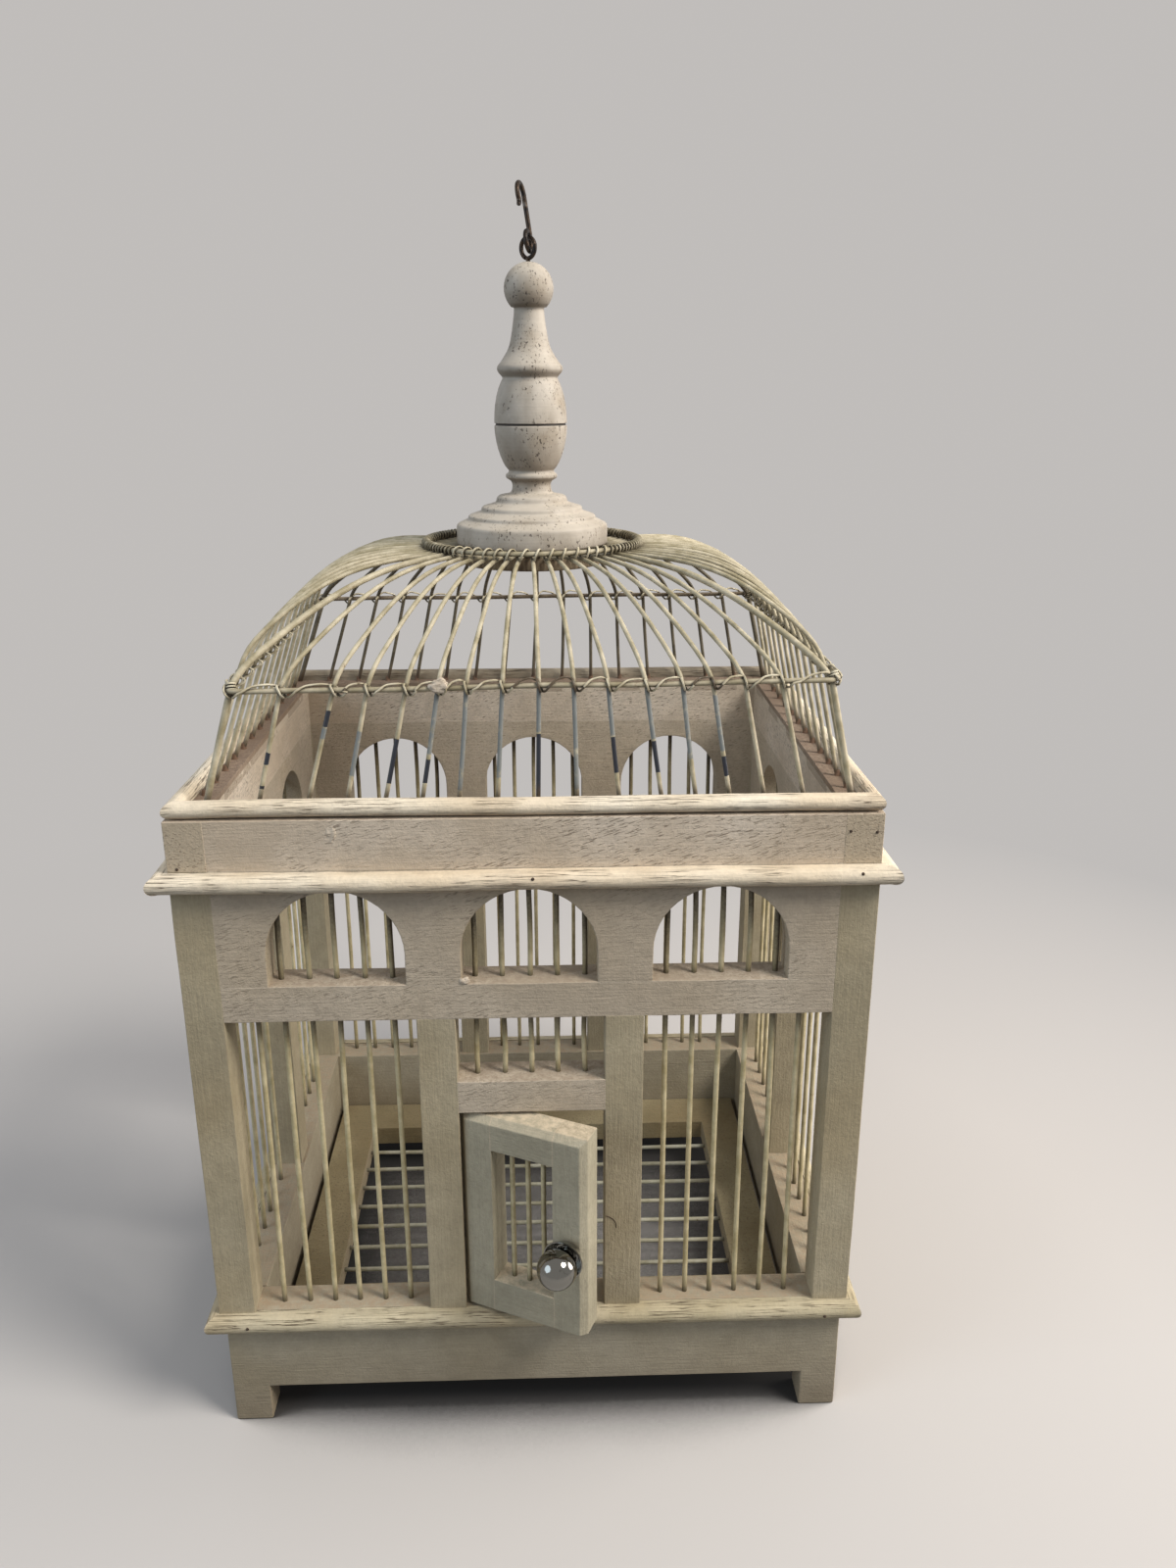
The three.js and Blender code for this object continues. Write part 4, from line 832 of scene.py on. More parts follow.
for name, side in sides.items():
    y = -side["out"] + bars["setback"]
    railFoot = cabin["railBottom"]
    bm = bmesh.new()
    for x in barPlaces(side["isLong"]):
        overDoor = name == "front" and abs(x) < bars["doorHalf"]
        foot = bars["lintelTop"] if overDoor else cabin["apronTop"]
        addBar(bm, x, y, foot - bars["hold"], railFoot + bars["headHold"], bars["bow"],
               railFoot - bars["railDark"], railFoot)
        for centre in arches["centres"][side["axis"]]:
            across = abs(x - centre)
            if across + bars["radius"] > arches["half"]:
                continue
            rise = math.sqrt(arches["half"] ** 2 - across ** 2)
            head = arches["top"] - arches["half"] + rise + bars["hold"]
            addBar(bm, x, y, cabin["railTop"] - bars["hold"], head, bars["stray"],
                   head - bars["archDarkFrom"], head - bars["archDarkFull"])
    bmesh.ops.transform(bm, matrix=sideMatrix(side["turn"]), verts=bm.verts[:])
    fit(addPiece(name + "Bars", bm, barWirePaint))
print("floor and bars made")

# Dome

dome = dict(
    frontGaps=16, sideGaps=13, radius=1.0, cornerRadius=1.4, baseX=140.8, baseY=115.8, seat=5, middleX=3.6,
    hoopX=127, hoopY=112, hoopCorner=6, hoopRadius=1.15, hoopBite=0.55, hoopSteps=300, hoop=367, tilt=1.2,
    crown=410.2, crownX=2.6, endRadius=31, wallSteps=32, wallSway=0.35, steps=22, spread=1.5, bow=4.6,
    frontBow=2.5, flatter=0.6, sideEase=1.0, knuckle=5.0, frontKnuckle=2.0, knuckleFall=14,
)
# where the front wires stand, from the left, as shares of the dome's half width at the shelf and at the hoop
frontFeet = [
    -0.962, -0.806, -0.663, -0.546, -0.433, -0.321, -0.208, -0.089, 0.033, 0.151, 0.282, 0.411, 0.514, 0.618,
    0.723, 0.843, 0.987,
]
frontTies = [
    -1, -0.815, -0.645, -0.537, -0.413, -0.31, -0.219, -0.102, 0.016, 0.129, 0.241, 0.365, 0.484, 0.584,
    0.689, 0.811, 1,
]


def hoopAt(length):
    # a point on the hoop's line and the way out of the dome there, from the middle of the back
    hx, hy, corner, middle = dome["hoopX"], dome["hoopY"], dome["hoopCorner"], dome["middleX"]
    lx, ly, cornerLong = 2 * (hx - corner), 2 * (hy - corner), quarterTurn * corner
    runs = [
        (lx / 2, (0, hy), (-1, 0), None),
        (cornerLong, (-hx + corner, hy - corner), None, quarterTurn),
        (ly, (-hx, hy - corner), (0, -1), None),
        (cornerLong, (-hx + corner, -hy + corner), None, math.pi),
        (lx, (-hx + corner, -hy), (1, 0), None),
        (cornerLong, (hx - corner, -hy + corner), None, math.pi + quarterTurn),
        (ly, (hx, -hy + corner), (0, 1), None),
        (cornerLong, (hx - corner, hy - corner), None, 0),
        (lx / 2, (hx - corner, hy), (-1, 0), None),
    ]
    left = length % hoopTotal
    for long, start, way, angle in runs:
        if left <= long:
            if way is None:
                turn = angle + left / corner
                out = (math.cos(turn), math.sin(turn))
                return middle + start[0] + corner * out[0], start[1] + corner * out[1], out
            return middle + start[0] + way[0] * left, start[1] + way[1] * left, (way[1], -way[0])
        left -= long
    return middle, hy, (0, 1)


def hoopHeight(x, y):
    # the hoop is bent by hand and hangs a little lower on the left
    wander = noise.noise(Vector((x * 0.02, y * 0.02, 1.5))) * 0.7
    return dome["hoop"] + dome["tilt"] * (x - dome["middleX"]) / dome["hoopX"] + wander


hoopTotal = 4 * (dome["hoopX"] + dome["hoopY"] - 2 * dome["hoopCorner"]) + fullTurn * dome["hoopCorner"]


def domeWires():
    inward = dome["radius"] + dome["hoopRadius"] - dome["hoopBite"]
    slant = math.sqrt(0.5)
    cornerIn = dome["hoopCorner"] * (1 - slant) + inward * slant
    tieX, tieY = dome["hoopX"] - cornerIn, dome["hoopY"] - cornerIn
    count = 2 * (dome["frontGaps"] + dome["sideGaps"])
    order = [("left", (-1, 1), (-1, -1)), ("front", (-1, -1), (1, -1)), ("right", (1, -1), (1, 1)),
             ("back", (1, 1), (-1, 1))]
    first = math.pi - dome["sideGaps"] / 2 / count * fullTurn
    made = []
    place = 0
    for side, start, end in order:
        isLong = side in ("front", "back")
        gaps = dome["frontGaps"] if isLong else dome["sideGaps"]
        for i in range(0 if isLong else 1, gaps + 1 if isLong else gaps):
            share = i / gaps
            sx = start[0] + (end[0] - start[0]) * share
            sy = start[1] + (end[1] - start[1]) * share
            isCorner = i in (0, gaps)
            atX = tieX if isCorner or isLong else dome["hoopX"] - inward
            atY = tieY if isCorner or not isLong else dome["hoopY"] - inward
            angle = first + (place + i) / count * fullTurn
            reach = dome["endRadius"]
            footX = sx * dome["baseX"]
            tieSide = sx * atX
            if side == "front":
                footX = frontFeet[i] * dome["baseX"]
                tieSide = tieSide if isCorner else frontTies[i] * dome["hoopX"]
            made.append(dict(
                side=side, index=i, corner=isCorner, foot=(footX, sy * dome["baseY"]),
                tie=(dome["middleX"] + tieSide, sy * atY),
                crown=(dome["crownX"] + reach * math.cos(angle), reach * math.sin(angle)),
                bow=dome["frontBow"] if isLong else dome["bow"] - dome["sideEase"] * abs(sy) ** 1.5,
                knuckle=dome["frontKnuckle" if isLong else "knuckle"],
            ))
        place += gaps
    return made


wires = domeWires()
wear = random.Random(23)


def wirePath(wire):
    # up from the shelf to the hoop, then over to the crown, with the hand-bent wander of the real wires
    foot, tie, crown = wire["foot"], wire["tie"], wire["crown"]
    along = Vector(crown) - Vector(tie)
    across = Vector((-along.y, along.x)).normalized()
    sway = wear.uniform(-1.0, 1.0)
    ripple = wear.uniform(-0.5, 0.5)
    bend = across.to_3d() * dome["wallSway"] * sway * mm
    points = slackWire(spot(*foot, cabin["shelf"] - dome["seat"]), spot(*tie, dome["hoop"]), bend,
                       dome["wallSteps"])[:-1]
    for i in range(dome["steps"] + 1):
        share = (i / dome["steps"]) ** dome["spread"]
        knuckle = wire["knuckle"] * (1 - share) ** dome["knuckleFall"]
        rise = 1 - (1 - share) ** (wire["bow"] + dome["flatter"] * share ** 2 + knuckle)
        belly = math.sin(math.pi * share) * sway + math.sin(3 * math.pi * share) * ripple * 0.5
        points.append(spot(tie[0] + along.x * share + across.x * belly,
                           tie[1] + along.y * share + across.y * belly,
                           dome["hoop"] + (dome["crown"] - dome["hoop"]) * rise))
    return points


# heights between which some front wires, counted from the left, are chipped bare or worn to blue-grey
bareStretches = {
    1: [(335.4, 340), (324.4, 326.6)], 2: [(350, 357)], 4: [(326, 345)], 5: [(327, 337)], 8: [(320, 346.5)],
    10: [(329, 344.5)], 11: [(330, 343)], 13: [(328.5, 337)],
}
blueStretches = {
    2: [(345, 350)], 3: [(330, 349)], 5: [(338, 366)], 6: [(322, 366)], 7: [(328, 366)], 8: [(347, 366)],
    9: [(322, 366)], 10: [(345, 366)], 11: [(343, 366)], 12: [(335, 366)], 13: [(338, 362)],
}


def within(stretches, z):
    return any(low <= z <= high for low, high in stretches)


def wireMarks(wire, points):
    # worn stretches on the front wires, rust where every wire stands
    isFront = wire["side"] == "front"
    marks = []
    for point in points:
        z = point.z / mm
        bare = isFront and within(bareStretches.get(wire["index"], []), z)
        blue = isFront and within(blueStretches.get(wire["index"], []), z)
        rust = max(0.0, min(1.0, (cabin["shelf"] + 9 - z) / 8)) * 0.8
        marks.append((0.9 if bare else 0.0, rust, 0.8 if blue else 0.0))
    return marks


for name in sides:
    bm = bmesh.new()
    for wire in wires:
        if wire["side"] == name:
            path = wirePath(wire)
            radius = dome["cornerRadius" if wire["corner"] else "radius"]
            addTube(bm, path, radius, marks=wireMarks(wire, path))
    # the back wires take the darker paint: painted shade
    paint = shadedBackWire if name == "back" else domeWirePaint
    piece = addPiece("dome" + name.capitalize() + "Wires", bm, paint)
    fit(piece, ["dome_" + name + "_wires"])

bm = bmesh.new()
hoopPoints = []
hoopMarks = []
for i in range(dome["hoopSteps"]):
    x, y, out = hoopAt(hoopTotal * i / dome["hoopSteps"])
    hoopPoints.append(spot(x, y, hoopHeight(x, y)))
    # the back stretch is darker through its rust mark, a painted shade to go with the back wires; the rest has
    # a little rust
    hoopMarks.append((0.0, 0.6 if y > dome["hoopY"] - dome["hoopCorner"] else 0.1, 0.0))
addTube(bm, hoopPoints, dome["hoopRadius"], closed=True, marks=hoopMarks)
fit(addPiece("hoopWire", bm, domeWirePaint))


def nearestLength(px, py):
    samples = 2400
    best = min(range(samples), key=lambda i: math.dist(hoopAt(hoopTotal * i / samples)[:2], (px, py)))
    return hoopTotal * best / samples


# The tie wire rises across the hoop's front in the middle of a gap, arches above it, passes behind the dome
# wire and crosses back over the hoop there in one tight loop. A knot gives how far along the gap the wire is,
# how many turns it has made, how far off the hoop it stands behind and how high it arches.
hoopTie = dict(radius=0.5, clear=0.12, sag=0.9, stepsAKnot=7, bareShare=0.06, knots=(
    (0.30, 0.0, 0.0, 0.0), (0.52, 0.22, 0.0, 0.5), (0.80, 0.30, 0.2, 1.1), (1.03, 0.50, 2.0, 0.3),
    (1.06, 0.75, 0.6, 0.4), (1.0, 1.0, 0.0, 0.0), (0.95, 1.25, 0.2, 0.5), (1.03, 1.5, 2.9, 0.3),
    (1.13, 1.75, 0.3, 0.2), (1.30, 2.0, 0.0, 0.0)))


def smoothStep(values, share):
    # a Catmull-Rom curve through the middle two of four values
    a, b, c, d = values
    return 0.5 * (2 * b + (c - a) * share + (2 * a - 5 * b + 4 * c - d) * share ** 2
                  + (3 * b - a - 3 * c + d) * share ** 3)


def makeHoopTie():
    starts = sorted(nearestLength(*wire["tie"]) for wire in wires)
    lapse = random.Random(5)
    points = []
    marks = []
    knots = hoopTie["knots"]
    coil = dome["hoopRadius"] + hoopTie["radius"] + hoopTie["clear"]
    for index, start in enumerate(starts):
        end = starts[index + 1] if index + 1 < len(starts) else starts[0] + hoopTotal
        slack = lapse.uniform(0.5, 1.5)
        bareHere = 0.8 if lapse.random() < hoopTie["bareShare"] else 0.0
        lead = (knots[-2][0] - 1, knots[-2][1] - 2, knots[-2][2], knots[-2][3])
        tail = (knots[1][0] + 1, knots[1][1] + 2, knots[1][2], knots[1][3])
        row = [lead, *knots, tail]
        for k in range(len(knots) - 1):
            for step in range(hoopTie["stepsAKnot"]):
                part = step / hoopTie["stepsAKnot"]
                share, turns, behind, arch = (
                    smoothStep([row[k + j][item] for j in range(4)], part) for item in range(4))
                x, y, out = hoopAt(start + (end - start) * share)
                turn = turns * fullTurn
                reach = coil + behind * max(0.0, -math.cos(turn))
                rise = coil * math.sin(turn) + arch * slack * max(0.0, math.sin(turn))
                rise -= hoopTie["sag"] * max(0.0, -math.sin(turn))
                points.append(spot(x + out[0] * reach * math.cos(turn), y + out[1] * reach * math.cos(turn),
                                   hoopHeight(x, y) + rise))
                marks.append((bareHere, 0.0, 0.0))
    bm = bmesh.new()
    addTube(bm, points, hoopTie["radius"], 6, marks=marks)
    fit(addPiece("hoopBindingWire", bm, tieWire, sharp=60), ["hoop_binding_wire"])


makeHoopTie()

lashing = dict(radius=0.4, turns=4, coil=1.95, high=5.0, stepsATurn=16)


def makeLashings():
    # a few loose turns round each corner wire where it meets the hoop
    lapse = random.Random(17)
    bm = bmesh.new()
    for wire in wires:
        if not wire["corner"]:
            continue
        x, y = wire["tie"]
        points = []
        count = lashing["turns"] * lashing["stepsATurn"]
        tip = lapse.uniform(-0.35, 0.35)
        for i in range(count + 1):
            share = i / count
            turn = share * lashing["turns"] * fullTurn
            reach = lashing["coil"] * (1 + 0.28 * noise.noise(Vector((share * 5, x * 0.1, y * 0.1))))
            flat = Vector((reach * math.cos(turn), reach * math.sin(turn)))
            lift = (share - 0.45) * lashing["high"] + flat.x * tip + flat.y * 0.5 * math.copysign(1, y)
            points.append(spot(x + flat.x, y + flat.y, hoopHeight(x, y) + lift))
        addTube(bm, points, lashing["radius"], 6)
    fit(addPiece("cornerLashings", bm, tieWire, sharp=60))


makeLashings()

crownRing = dict(radius=51.5, wire=1.2, steps=120)
ringHeight = dome["crown"] + dome["radius"] + cabin["gap"] + crownRing["wire"]


def ringRadius(angle):
    # the ring is bent by hand
    wobble = noise.noise(Vector((math.cos(angle) * 1.3, math.sin(angle) * 1.3, 8.0)))
    return crownRing["radius"] + wobble * 0.6


def ringSpot(angle, out, z):
    # a point at an angle and a distance from the crown's middle
    return spot(dome["crownX"] + out * math.cos(angle), out * math.sin(angle), z)


bm = bmesh.new()
ringPoints = [ringSpot(angle, ringRadius(angle), ringHeight) for angle in around(crownRing["steps"])]
addTube(bm, ringPoints, crownRing["wire"], closed=True)
fit(addPiece("crownRing", bm, domeWirePaint), ["crown_ring"])


def ringCrossing(wire):
    # where a dome wire passes under the ring
    x0, y0 = wire["crown"][0] - dome["crownX"], wire["crown"][1]
    dx, dy = wire["tie"][0] - wire["crown"][0], wire["tie"][1] - wire["crown"][1]
    a = dx * dx + dy * dy
    b = x0 * dx + y0 * dy
    c = x0 * x0 + y0 * y0 - crownRing["radius"] ** 2
    share = (-b + math.sqrt(b * b - a * c)) / a
    return math.atan2(y0 + share * dy, x0 + share * dx) % fullTurn


crownTie = dict(radius=0.5, clear=0.1, openClear=0.4, stepsATurn=14, deep=2.2, openFrom=-0.8, openTo=0.75)


def makeCrownTie():
    angles = sorted(ringCrossing(wire) for wire in wires)
    lapse = random.Random(9)
    points = []
    marks = []
    for index, start in enumerate(angles):
        end = angles[index + 1] if index + 1 < len(angles) else angles[0] + fullTurn
        fromFront = (start + quarterTurn + math.pi) % fullTurn - math.pi  # 0 in front, positive to the right
        isOpen = crownTie["openFrom"] < fromFront < crownTie["openTo"]
        turns = 1 if isOpen else 2
        olive = 0.0 if isOpen else 0.75
        lean = lapse.uniform(-0.05, 0.05)
        for k in range(turns * crownTie["stepsATurn"]):
            part = k / (turns * crownTie["stepsATurn"])
            turn = part * turns * fullTurn - quarterTurn
            angle = start + (end - start) * (part + lean * math.sin(math.pi * part))
            coil = crownRing["wire"] + crownTie["radius"] + crownTie["openClear" if isOpen else "clear"]
            nearWire = max(0.0, 1 - min(part, 1 - part) * turns / 0.4)
            below = max(0.0, -math.sin(turn))
            rise = (coil + nearWire * below * crownTie["deep"]) * math.sin(turn)
            points.append(ringSpot(angle, ringRadius(angle) + coil * math.cos(turn), ringHeight + rise))
            marks.append((0.0, 0.0, olive))
    bm = bmesh.new()
    addTube(bm, points, crownTie["radius"], 6, marks=marks)
    fit(addPiece("crownBindingWire", bm, tieWire, sharp=60), ["crown_binding_wire"])


makeCrownTie()

footRust = dict(sides=14, ragged=0.3, outline=((1.7, -0.25), (1.36, 0.3), (1.25, 1.2), (1.06, 2.6)))
leaning = dome["seat"] / (dome["hoop"] - cabin["shelf"] + dome["seat"])  # the wire's share below the shelf
bm = bmesh.new()
for wire in wires:
    x, y = Vector(wire["foot"]).lerp(Vector(wire["tie"]), leaning)
    rings = []
    for radius, up in footRust["outline"]:
        ring = []
        for angle in around(footRust["sides"]):
            ragged = footRust["ragged"] * noise.noise(Vector((x + math.cos(angle), y + math.sin(angle), 2)))
            reach = radius * (1 + ragged * min(1.0, radius - 1))
            place = spot(x + reach * math.cos(angle), y + reach * math.sin(angle), cabin["shelf"] + up)
            ring.append(bm.verts.new(place))
        rings.append(ring)
    skin(bm, rings)
fit(addPiece("wireFootRust", bm, footStain, even=False))
print("dome made")

# Crown disc and finial

finial = dict(foot=411.5, drill=1.4, drillFoot=117.4, ball=115.0, ballRadius=11.4, ballSteps=14)
finialOutline = [
    (0, -8.6), (4.6, -8.6), (5, -8.2), (5, 0), (35.6, 0), (36.2, 0.4), (36.4, 1.2), (36.4, 8.2),
    (36.2, 9.1), (35.5, 9.8), (34.6, 10.2), (31.6, 11.6), (31.0, 12.0), (30.7, 12.5), (30.6, 13.1),
    (30.2, 13.6), (29.5, 13.9), (25.3, 15.3), (24.6, 15.7), (24.3, 16.3), (24.2, 17.0), (23.7, 17.6),
    (23.0, 17.9), (18.6, 19.2), (17.6, 19.7), (17.1, 20.4), (16.9, 21.3), (16.4, 22.3), (15.2, 23.0),
    (12.4, 23.5), (10.6, 23.9), (9.8, 24.6), (9.4, 25.6), (9.2, 27.0), (9.3, 28.4), (9.9, 29.6),
    (11.2, 30.4), (12.0, 30.9), (12.3, 31.5), (12.3, 32.3), (12.0, 32.8), (11.3, 33.2), (10.8, 33.9),
    (10.8, 34.5), (11.4, 35.2), (12.3, 36.3), (13.3, 38.0), (14.6, 41.0), (15.7, 44.4), (16.5, 48.0),
    (17.0, 51.5), (17.15, 54.3), (17.1, 54.9), (16.6, 55.15), (16.4, 55.5), (16.6, 55.85), (17.1, 56.1),
    (17.15, 57.0), (17.0, 60.5), (16.6, 64.4), (15.9, 68.0), (14.9, 71.5), (13.7, 74.4), (12.95, 75.8),
    (12.9, 76.4), (13.4, 77.1), (14.5, 78.3), (15.1, 79.2), (15.3, 80.1), (15.25, 81.0), (14.8, 81.8),
    (13.6, 83.2), (12.0, 85.6), (10.6, 87.8), (9.5, 90.2), (8.7, 93.2), (8.0, 97.0), (7.4, 101.0),
    (7.0, 104.6), (6.9, 106.4), (7.3, 107.0),
]
ballTop = finial["ball"] + finial["ballRadius"] - 0.35
finialOutline += arc(0, finial["ball"], finial["ballRadius"], -44, 86, finial["ballSteps"])
finialOutline += [(finial["drill"], ballTop), (finial["drill"], finial["drillFoot"])]
finialOutline.append((0, finial["drillFoot"]))
turnedPiece("finial", finialOutline, spot(dome["crownX"], 0, finial["foot"]), turnedWood,
            "finial", lineAt=(55.1, 55.9))

disc = dict(radius=34.5, thick=6.5, hole=5.3, top=408.9)
discOutline = [
    (disc["hole"], 0), (disc["radius"] - 0.9, 0), (disc["radius"] - 0.25, -0.3), (disc["radius"], -1),
    (disc["radius"], 1 - disc["thick"]), (disc["radius"] - 0.3, 0.3 - disc["thick"]),
    (disc["radius"] - 1, -disc["thick"]), (disc["hole"], -disc["thick"]), (disc["hole"], 0),
]
turnedPiece("crownDisc", discOutline, spot(dome["crownX"], 0, disc["top"]), discWood,
            "crown_disc")

# Screw eye and hook

eye = dict(radius=4.4, wire=1.0, turn=-45, centre=543.6, shank=9, shankPitch=1.6, shankPoints=6, start=-96,
           end=249, steps=40)
eyeFlat = [(0, i * eye["shankPitch"] - eye["radius"] - eye["shank"]) for i in range(eye["shankPoints"])]
eyeFlat += arc(0, 0, eye["radius"], eye["start"], eye["end"], eye["steps"])
flatWire("screwEye", eyeFlat, turnedAt(spot(dome["crownX"], 0, eye["centre"]), eye["turn"]), eye["wire"],
         "screw_eye")

hook = dict(wire=1.1, loop=4.3, loopStart=70, loopSteps=36, rest=0.45, shank=19.35, shankSteps=6, crook=5.0,
            crookEnd=200, crookSteps=25, curl=2.1, curlEnd=-95, curlSteps=8, taper=(0.95, 0.85, 0.6), turn=75,
            lean=9, top=548.0)
loopDrop = hook["loop"] - hook["wire"] - eye["wire"] - hook["rest"]
crookX = hook["loop"] - hook["crook"]
crookY = hook["shank"] - loopDrop
crookEnd = math.radians(hook["crookEnd"])
curlReach = hook["crook"] + hook["curl"]
hookFlat = arc(0, -loopDrop, hook["loop"], hook["loopStart"], 360, hook["loopSteps"])
shankFoot = Vector(hookFlat[-1])
shankHead = Vector((crookX + hook["crook"], crookY))
hookFlat += [shankFoot.lerp(shankHead, i / hook["shankSteps"]) for i in range(1, hook["shankSteps"])]
hookFlat += arc(crookX, crookY, hook["crook"], 0, hook["crookEnd"], hook["crookSteps"])
hookFlat += arc(crookX + curlReach * math.cos(crookEnd), crookY + curlReach * math.sin(crookEnd),
                hook["curl"], hook["crookEnd"] - 180, hook["curlEnd"], hook["curlSteps"])[1:]
hookMatrix = turnedAt(spot(dome["crownX"], 0, hook["top"]), hook["turn"])
hookMatrix = hookMatrix @ Matrix.Rotation(math.radians(-hook["lean"]), 4, "X")
hookThick = [hook["wire"]] * (len(hookFlat) - len(hook["taper"]))
hookThick += [hook["wire"] * share for share in hook["taper"]]
flatWire("hangingHook", hookFlat, hookMatrix, hookThick, "hanging_hook", "hook")
print("crown, finial and hook made")

# Door, in its own frame: x along it from the pivot, y into the cage

door = dict(
    pivotX=-24.9, pivotY=-118.1, openAngle=25, wide=62.8, bottom=67.4, top=171.8, thick=13.8, chamfer=3.0,
    stile=16.3, topRail=16.3, bottomRail=17.2, pivotIn=6.5, edge=0.45, seam=-0.8, bars=3, barRadius=1.2,
    barBow=0.4, barHold=1, barSteps=12,
)
doorMatrix = turnedAt(spot(door["pivotX"], door["pivotY"], 0), -door["openAngle"])
doorLeft = -door["pivotIn"]
doorRight = door["wide"] - door["pivotIn"]
doorFront = -door["thick"] / 2
doorBack = door["thick"] / 2


def doorBoard(name, x0, x1, z0, z1, axis, node):
    # one board of the door's frame, with the chamfer that runs along the door's outer front edges
    bm = boxMesh(Vector((x0, doorFront, z0)) * mm, Vector((x1, doorBack, z1)) * mm)
    size = door["chamfer"]
    planes = [((doorLeft, doorFront + size, 0), (-1, -1, 0)), ((doorRight, doorFront + size, 0), (1, -1, 0)),
              ((0, doorFront + size, door["top"]), (0, -1, 1))]
    for place, normal in planes:
        geometry = bm.verts[:] + bm.edges[:] + bm.faces[:]
        cut = bmesh.ops.bisect_plane(bm, geom=geometry, plane_co=Vector(place) * mm,
                                     plane_no=Vector(normal).normalized(), clear_outer=True)
        edges = [item for item in cut["geom_cut"] if isinstance(item, bmesh.types.BMEdge)]
        if edges:
            bmesh.ops.edgenet_fill(bm, edges=edges)
    bmesh.ops.recalc_face_normals(bm, faces=bm.faces[:])
    softenEdges(bm, door["edge"], 2, 20)
    cutUp(bm, "xyz".index(axis), boardWork["step"])
    nudge(bm)
    return fit(addPiece(name, bm, doorWood[axis], doorMatrix), [node], "door")


innerLeft = doorLeft + door["stile"] + door["seam"]
innerRight = doorRight - door["stile"] - door["seam"]
topRailFoot = door["top"] - door["topRail"]
bottomRailTop = door["bottom"] + door["bottomRail"]
doorBoard("doorHingeStile", doorLeft, doorLeft + door["stile"], door["bottom"], door["top"], "z",
          "door_hinge_stile")
doorBoard("doorLatchStile", doorRight - door["stile"], doorRight, door["bottom"], door["top"], "z",
          "door_latch_stile")
doorBoard("doorTopRail", innerLeft, innerRight, topRailFoot, door["top"], "x", "door_top_rail")
doorBoard("doorBottomRail", innerLeft, innerRight, door["bottom"], bottomRailTop, "x",
          "door_bottom_rail_and_bars")

bm = bmesh.new()
for i in range(door["bars"]):
    x = innerLeft + (innerRight - innerLeft) * (i + 1) / (door["bars"] + 1)
    foot = Vector((x, 0, bottomRailTop - door["barHold"])) * mm
    head = Vector((x, 0, topRailFoot + door["barHold"])) * mm
    bend = Vector((seeds.uniform(-door["barBow"], door["barBow"]), 0, 0)) * mm
    addTube(bm, slackWire(foot, head, bend, door["barSteps"]), door["barRadius"])
fit(addPiece("doorBars", bm, barWirePaint, doorMatrix), body="door")

knob = dict(ball=9.0, out=13.0, stem=3.0, neck=3.4, high=46.0, segments=48, steps=22)
knobPlace = Vector((doorRight - door["stile"] / 2, doorFront, door["bottom"] + knob["high"])) * mm
knobMatrix = doorMatrix @ turnedAt(knobPlace, 90, "X")  # the turned axis now points out of the door
ballStart = math.degrees(math.asin(knob["neck"] / knob["ball"])) - 90
ballOutline = [(0, -8), (2, -8), (2, 0.3), (knob["stem"], 0.3), (knob["stem"], 3.4), (3.2, 4.4)]
ballOutline += arc(0, knob["out"], knob["ball"], ballStart, 90, knob["steps"])[1:-1]
ballOutline.append((0, knob["out"] + knob["ball"]))
turnedPiece("doorKnob", ballOutline, Vector((0, 0, 0)), chrome, "door_knob",
            knob["segments"], 70, knobMatrix, "door")

roseOutline = [
    (3.3, 0.3), (5.2, 0.3), (5.9, 0.7), (6.6, 1.6), (7.6, 3.4), (8.8, 5.6), (9.4, 6.2), (9.4, 6.7), (9.0, 6.8),
    (8.2, 6.1), (6.9, 3.8), (5.9, 2.3), (5.2, 1.8), (3.3, 1.8), (3.3, 0.3),
]
turnedPiece("doorKnobRose", roseOutline, Vector((0, 0, 0)), chrome, "door_knob_rose",
            knob["segments"], 50, knobMatrix, "door")

pin = dict(radius=1.1, tip=0.8, bevel=0.3, segments=20)
for name, node in (("doorTopPin", "door_top_pin"), ("doorBottomPin", "door_bottom_pin")):
    low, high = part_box(node)
    middle = (low + high) / 2
    long = (high.z - low.z) / mm
    pinOutline = [(0, 0), (pin["tip"], 0), (pin["radius"], pin["bevel"]),
                  (pin["radius"], long - pin["bevel"]), (pin["tip"], long), (0, long)]
    turnedPiece(name, pinOutline, Vector((middle.x, middle.y, low.z)), steel, node,
                pin["segments"], 50)
print("door made")

# Nails that show as dark dots

nails = dict(radius=0.75, spots=(
    (-135.7, -130.9, 62.0), (138.3, -130.9, 60.8), (2.1, -132.1, 289.6), (140.4, -131.9, 289.8),
    (135.8, -124.9, 306.4), (147.0, -124.9, 305.9), (-145.7, -124.9, 293.2)))
bm = bmesh.new()
for place in nails["spots"]:
    matrix = turnedAt(spot(*place), 90, "X")
    bmesh.ops.create_uvsphere(bm, u_segments=14, v_segments=8, radius=nails["radius"] * mm, matrix=matrix)
fit(addPiece("nailHeads", bm, nailDark, even=False))

# Lumps of paint and filler on the hoop, the frieze and a sill, and the edge of a knot in the right stile

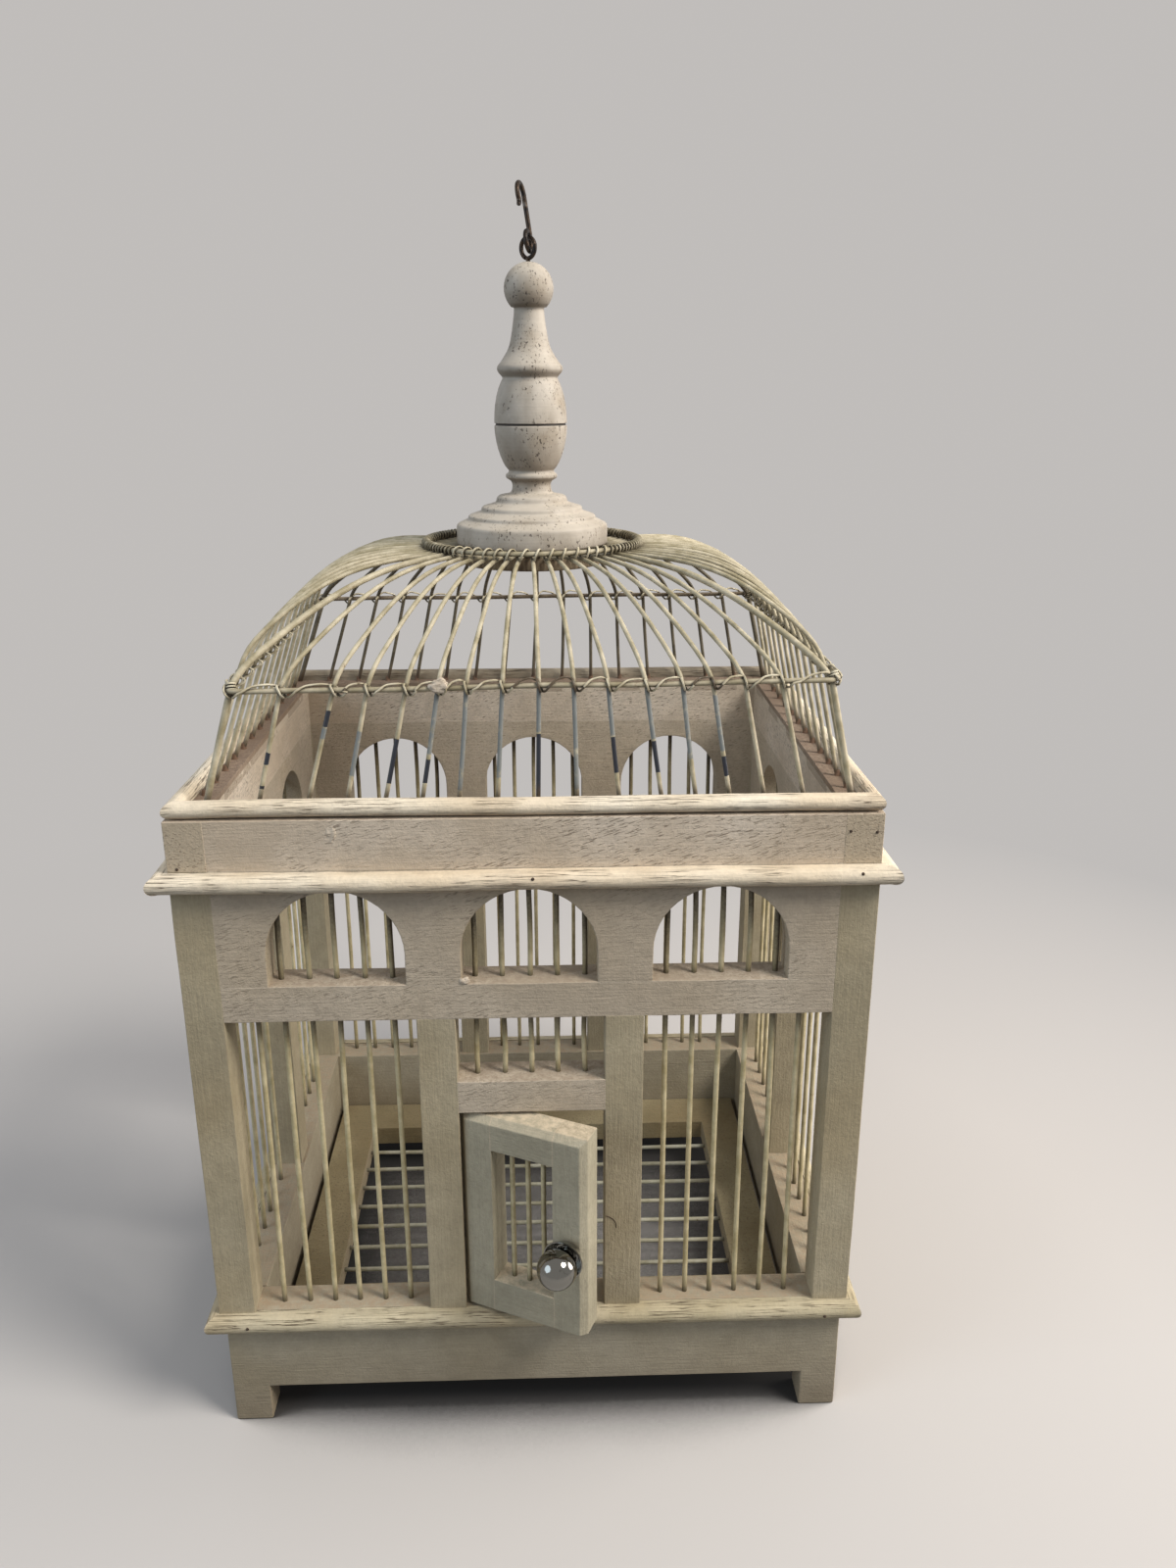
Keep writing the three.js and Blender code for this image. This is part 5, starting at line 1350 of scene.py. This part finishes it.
lumps = dict(rough=0.5, fine=0.2, spots=(
    ((-35.4, -113.2, 367.8), (3.8, 1.2, 2.8)), ((-80.8, -124.7, 307.6), (1.9, 0.6, 4.2)),
    ((-28.2, -124.6, 239.4), (2.4, 1.1, 1.7))))
for place, reach in lumps["spots"]:
    bm = bmesh.new()
    bmesh.ops.create_icosphere(bm, subdivisions=4, radius=1.0)
    for vert in bm.verts:
        swell = 1 + lumps["rough"] * noise.noise(vert.co * 1.3 + Vector((4, 1, reach[2])))
        swell += lumps["fine"] * noise.noise(vert.co * 3.7)
        vert.co = spot(*(middle + swell * long * part for middle, long, part in zip(place, reach, vert.co)))
    piece = addPiece("paintLump" + str(round(place[2])), bm, friezeWood["x"], sharp=80, even=False)
    fit(piece)

knot = dict(x=32.3, y=-125.02, z=110.5, radius=6.1, start=80, end=-6, steps=14, line=0.2)
bm = bmesh.new()
knotFlat = arc(knot["x"], knot["z"], knot["radius"], knot["start"], knot["end"], knot["steps"])
addTube(bm, [spot(x, knot["y"], z) for x, z in knotFlat], knot["line"], 6)
fit(addPiece("stileKnot", bm, nailDark, sharp=80, even=False))

# Camera

photoView = dict(place=(9.51, -595.37, 483.54), pitch=-0.318, yaw=-0.034, roll=0.001, focal=1230, wide=1200,
                 sensor=36)
camera = bpy.data.cameras.new("photoCamera")
camera.sensor_fit = "HORIZONTAL"
camera.sensor_width = photoView["sensor"]
camera.lens = photoView["sensor"] * photoView["focal"] / photoView["wide"]
camera.clip_start = 0.01
cameraObject = addObject("photoCamera", camera)
cameraObject.location = spot(*photoView["place"])
cameraObject.rotation_euler = (quarterTurn + photoView["pitch"], photoView["roll"], photoView["yaw"])
bpy.context.scene.camera = cameraObject

# Floor, light and background

studio = dict(
    pale=(0.53, 0.51, 0.495, 1), floorLight=(0.13, 0.125, 0.12, 1), sky=(0.68, 0.68, 0.70, 1),
    skyStrength=0.62, dark=(0, 0, 0, 1), fadeFrom=0.34, fadeOver=0.5, floorRadius=14, floorSegments=96,
    under=(0.03, 0.028, 0.027, 1), underReach=300, underSamples=32, underFrom=0.46, underOver=0.16,
    underShare=0.97, aim=(0, 0, 0.3),
    keyPlace=(1.75, -1.0, 2.3), keySize=1.2, keyPower=80, keyColour=(1.0, 0.95, 0.88),
    fillPlace=(-1.5, -0.9, 0.9), fillSize=1.2, fillPower=10, fillColour=(0.70, 0.85, 1.0),
    sidePlace=(1.7, 0.1, 0.5), sideSize=1.0, sidePower=20, sideColour=(1.0, 0.92, 0.84),
)


def seen(finish):
    # 1 where the camera looks or a mirror or glass shows the way, 0 where only light arrives
    camera, glossy, through = (finish.node("ShaderNodeLightPath", {}, {}, key) for key in
                               ("Is Camera Ray", "Is Glossy Ray", "Is Transmission Ray"))
    return (camera + glossy + through).held()


def makeStudioFloor(name):
    # pale ground that takes the cage's shadow, with a painted shadow under and near the cage, and runs into
    # the background farther out
    finish = newFinish(name)
    # painted shadow: darker where the cage hems in the ground
    close = 1 - finish.corner(studio["underReach"], samples=studio["underSamples"])
    close = close.over(studio["underFrom"], studio["underOver"])
    colour = finish.mix(close * studio["underShare"], studio["pale"], studio["under"])
    colour = finish.mix(seen(finish), studio["floorLight"], colour)
    near = finish.node("ShaderNodeBsdfPrincipled", {}, {"Base Color": colour, "Roughness": 1.0})
    glow = finish.mix(seen(finish), studio["dark"], studio["pale"])
    far = finish.node("ShaderNodeEmission", {}, {"Color": glow, "Strength": 1.0})
    place = finish.node("ShaderNodeTexCoord", {}, {}, "Object")
    distance = finish.node("ShaderNodeVectorMath", {"operation": "LENGTH"}, {0: place}, "Value")
    fade = distance.over(studio["fadeFrom"], studio["fadeOver"])
    both = finish.node("ShaderNodeMixShader", {}, {0: fade, 1: near, 2: far})
    finish.node("ShaderNodeOutputMaterial", {}, {"Surface": both})
    return finish.owner


bm = bmesh.new()
bmesh.ops.create_circle(bm, cap_ends=True, segments=studio["floorSegments"], radius=studio["floorRadius"])
studioFloor = addPiece("studioFloor", bm, makeStudioFloor("studioFloor"), even=False)

world = Finish(bpy.data.worlds.new("studioLight"))
bpy.context.scene.world = world.owner
skyLight = world.node("ShaderNodeBackground", {}, {"Color": studio["sky"], "Strength": studio["skyStrength"]})
skySeen = world.node("ShaderNodeBackground", {}, {"Color": studio["pale"], "Strength": 1.0})
bothSkies = world.node("ShaderNodeMixShader", {}, {0: seen(world), 1: skyLight, 2: skySeen})
world.node("ShaderNodeOutputWorld", {}, {"Surface": bothSkies})

for name in ("key", "fill", "side"):
    lamp = bpy.data.lights.new(name + "Lamp", "AREA")
    lamp.shape = "DISK"
    lamp.size = studio[name + "Size"]
    lamp.energy = studio[name + "Power"]
    lamp.color = studio[name + "Colour"]
    lampObject = addObject(name + "Lamp", lamp)
    lampObject.location = studio[name + "Place"]
    aim = Vector(studio["aim"]) - lampObject.location
    lampObject.rotation_euler = aim.to_track_quat("-Z", "Y").to_euler()

bpy.context.scene.view_settings.view_transform = "Standard"
print("camera and light placed")
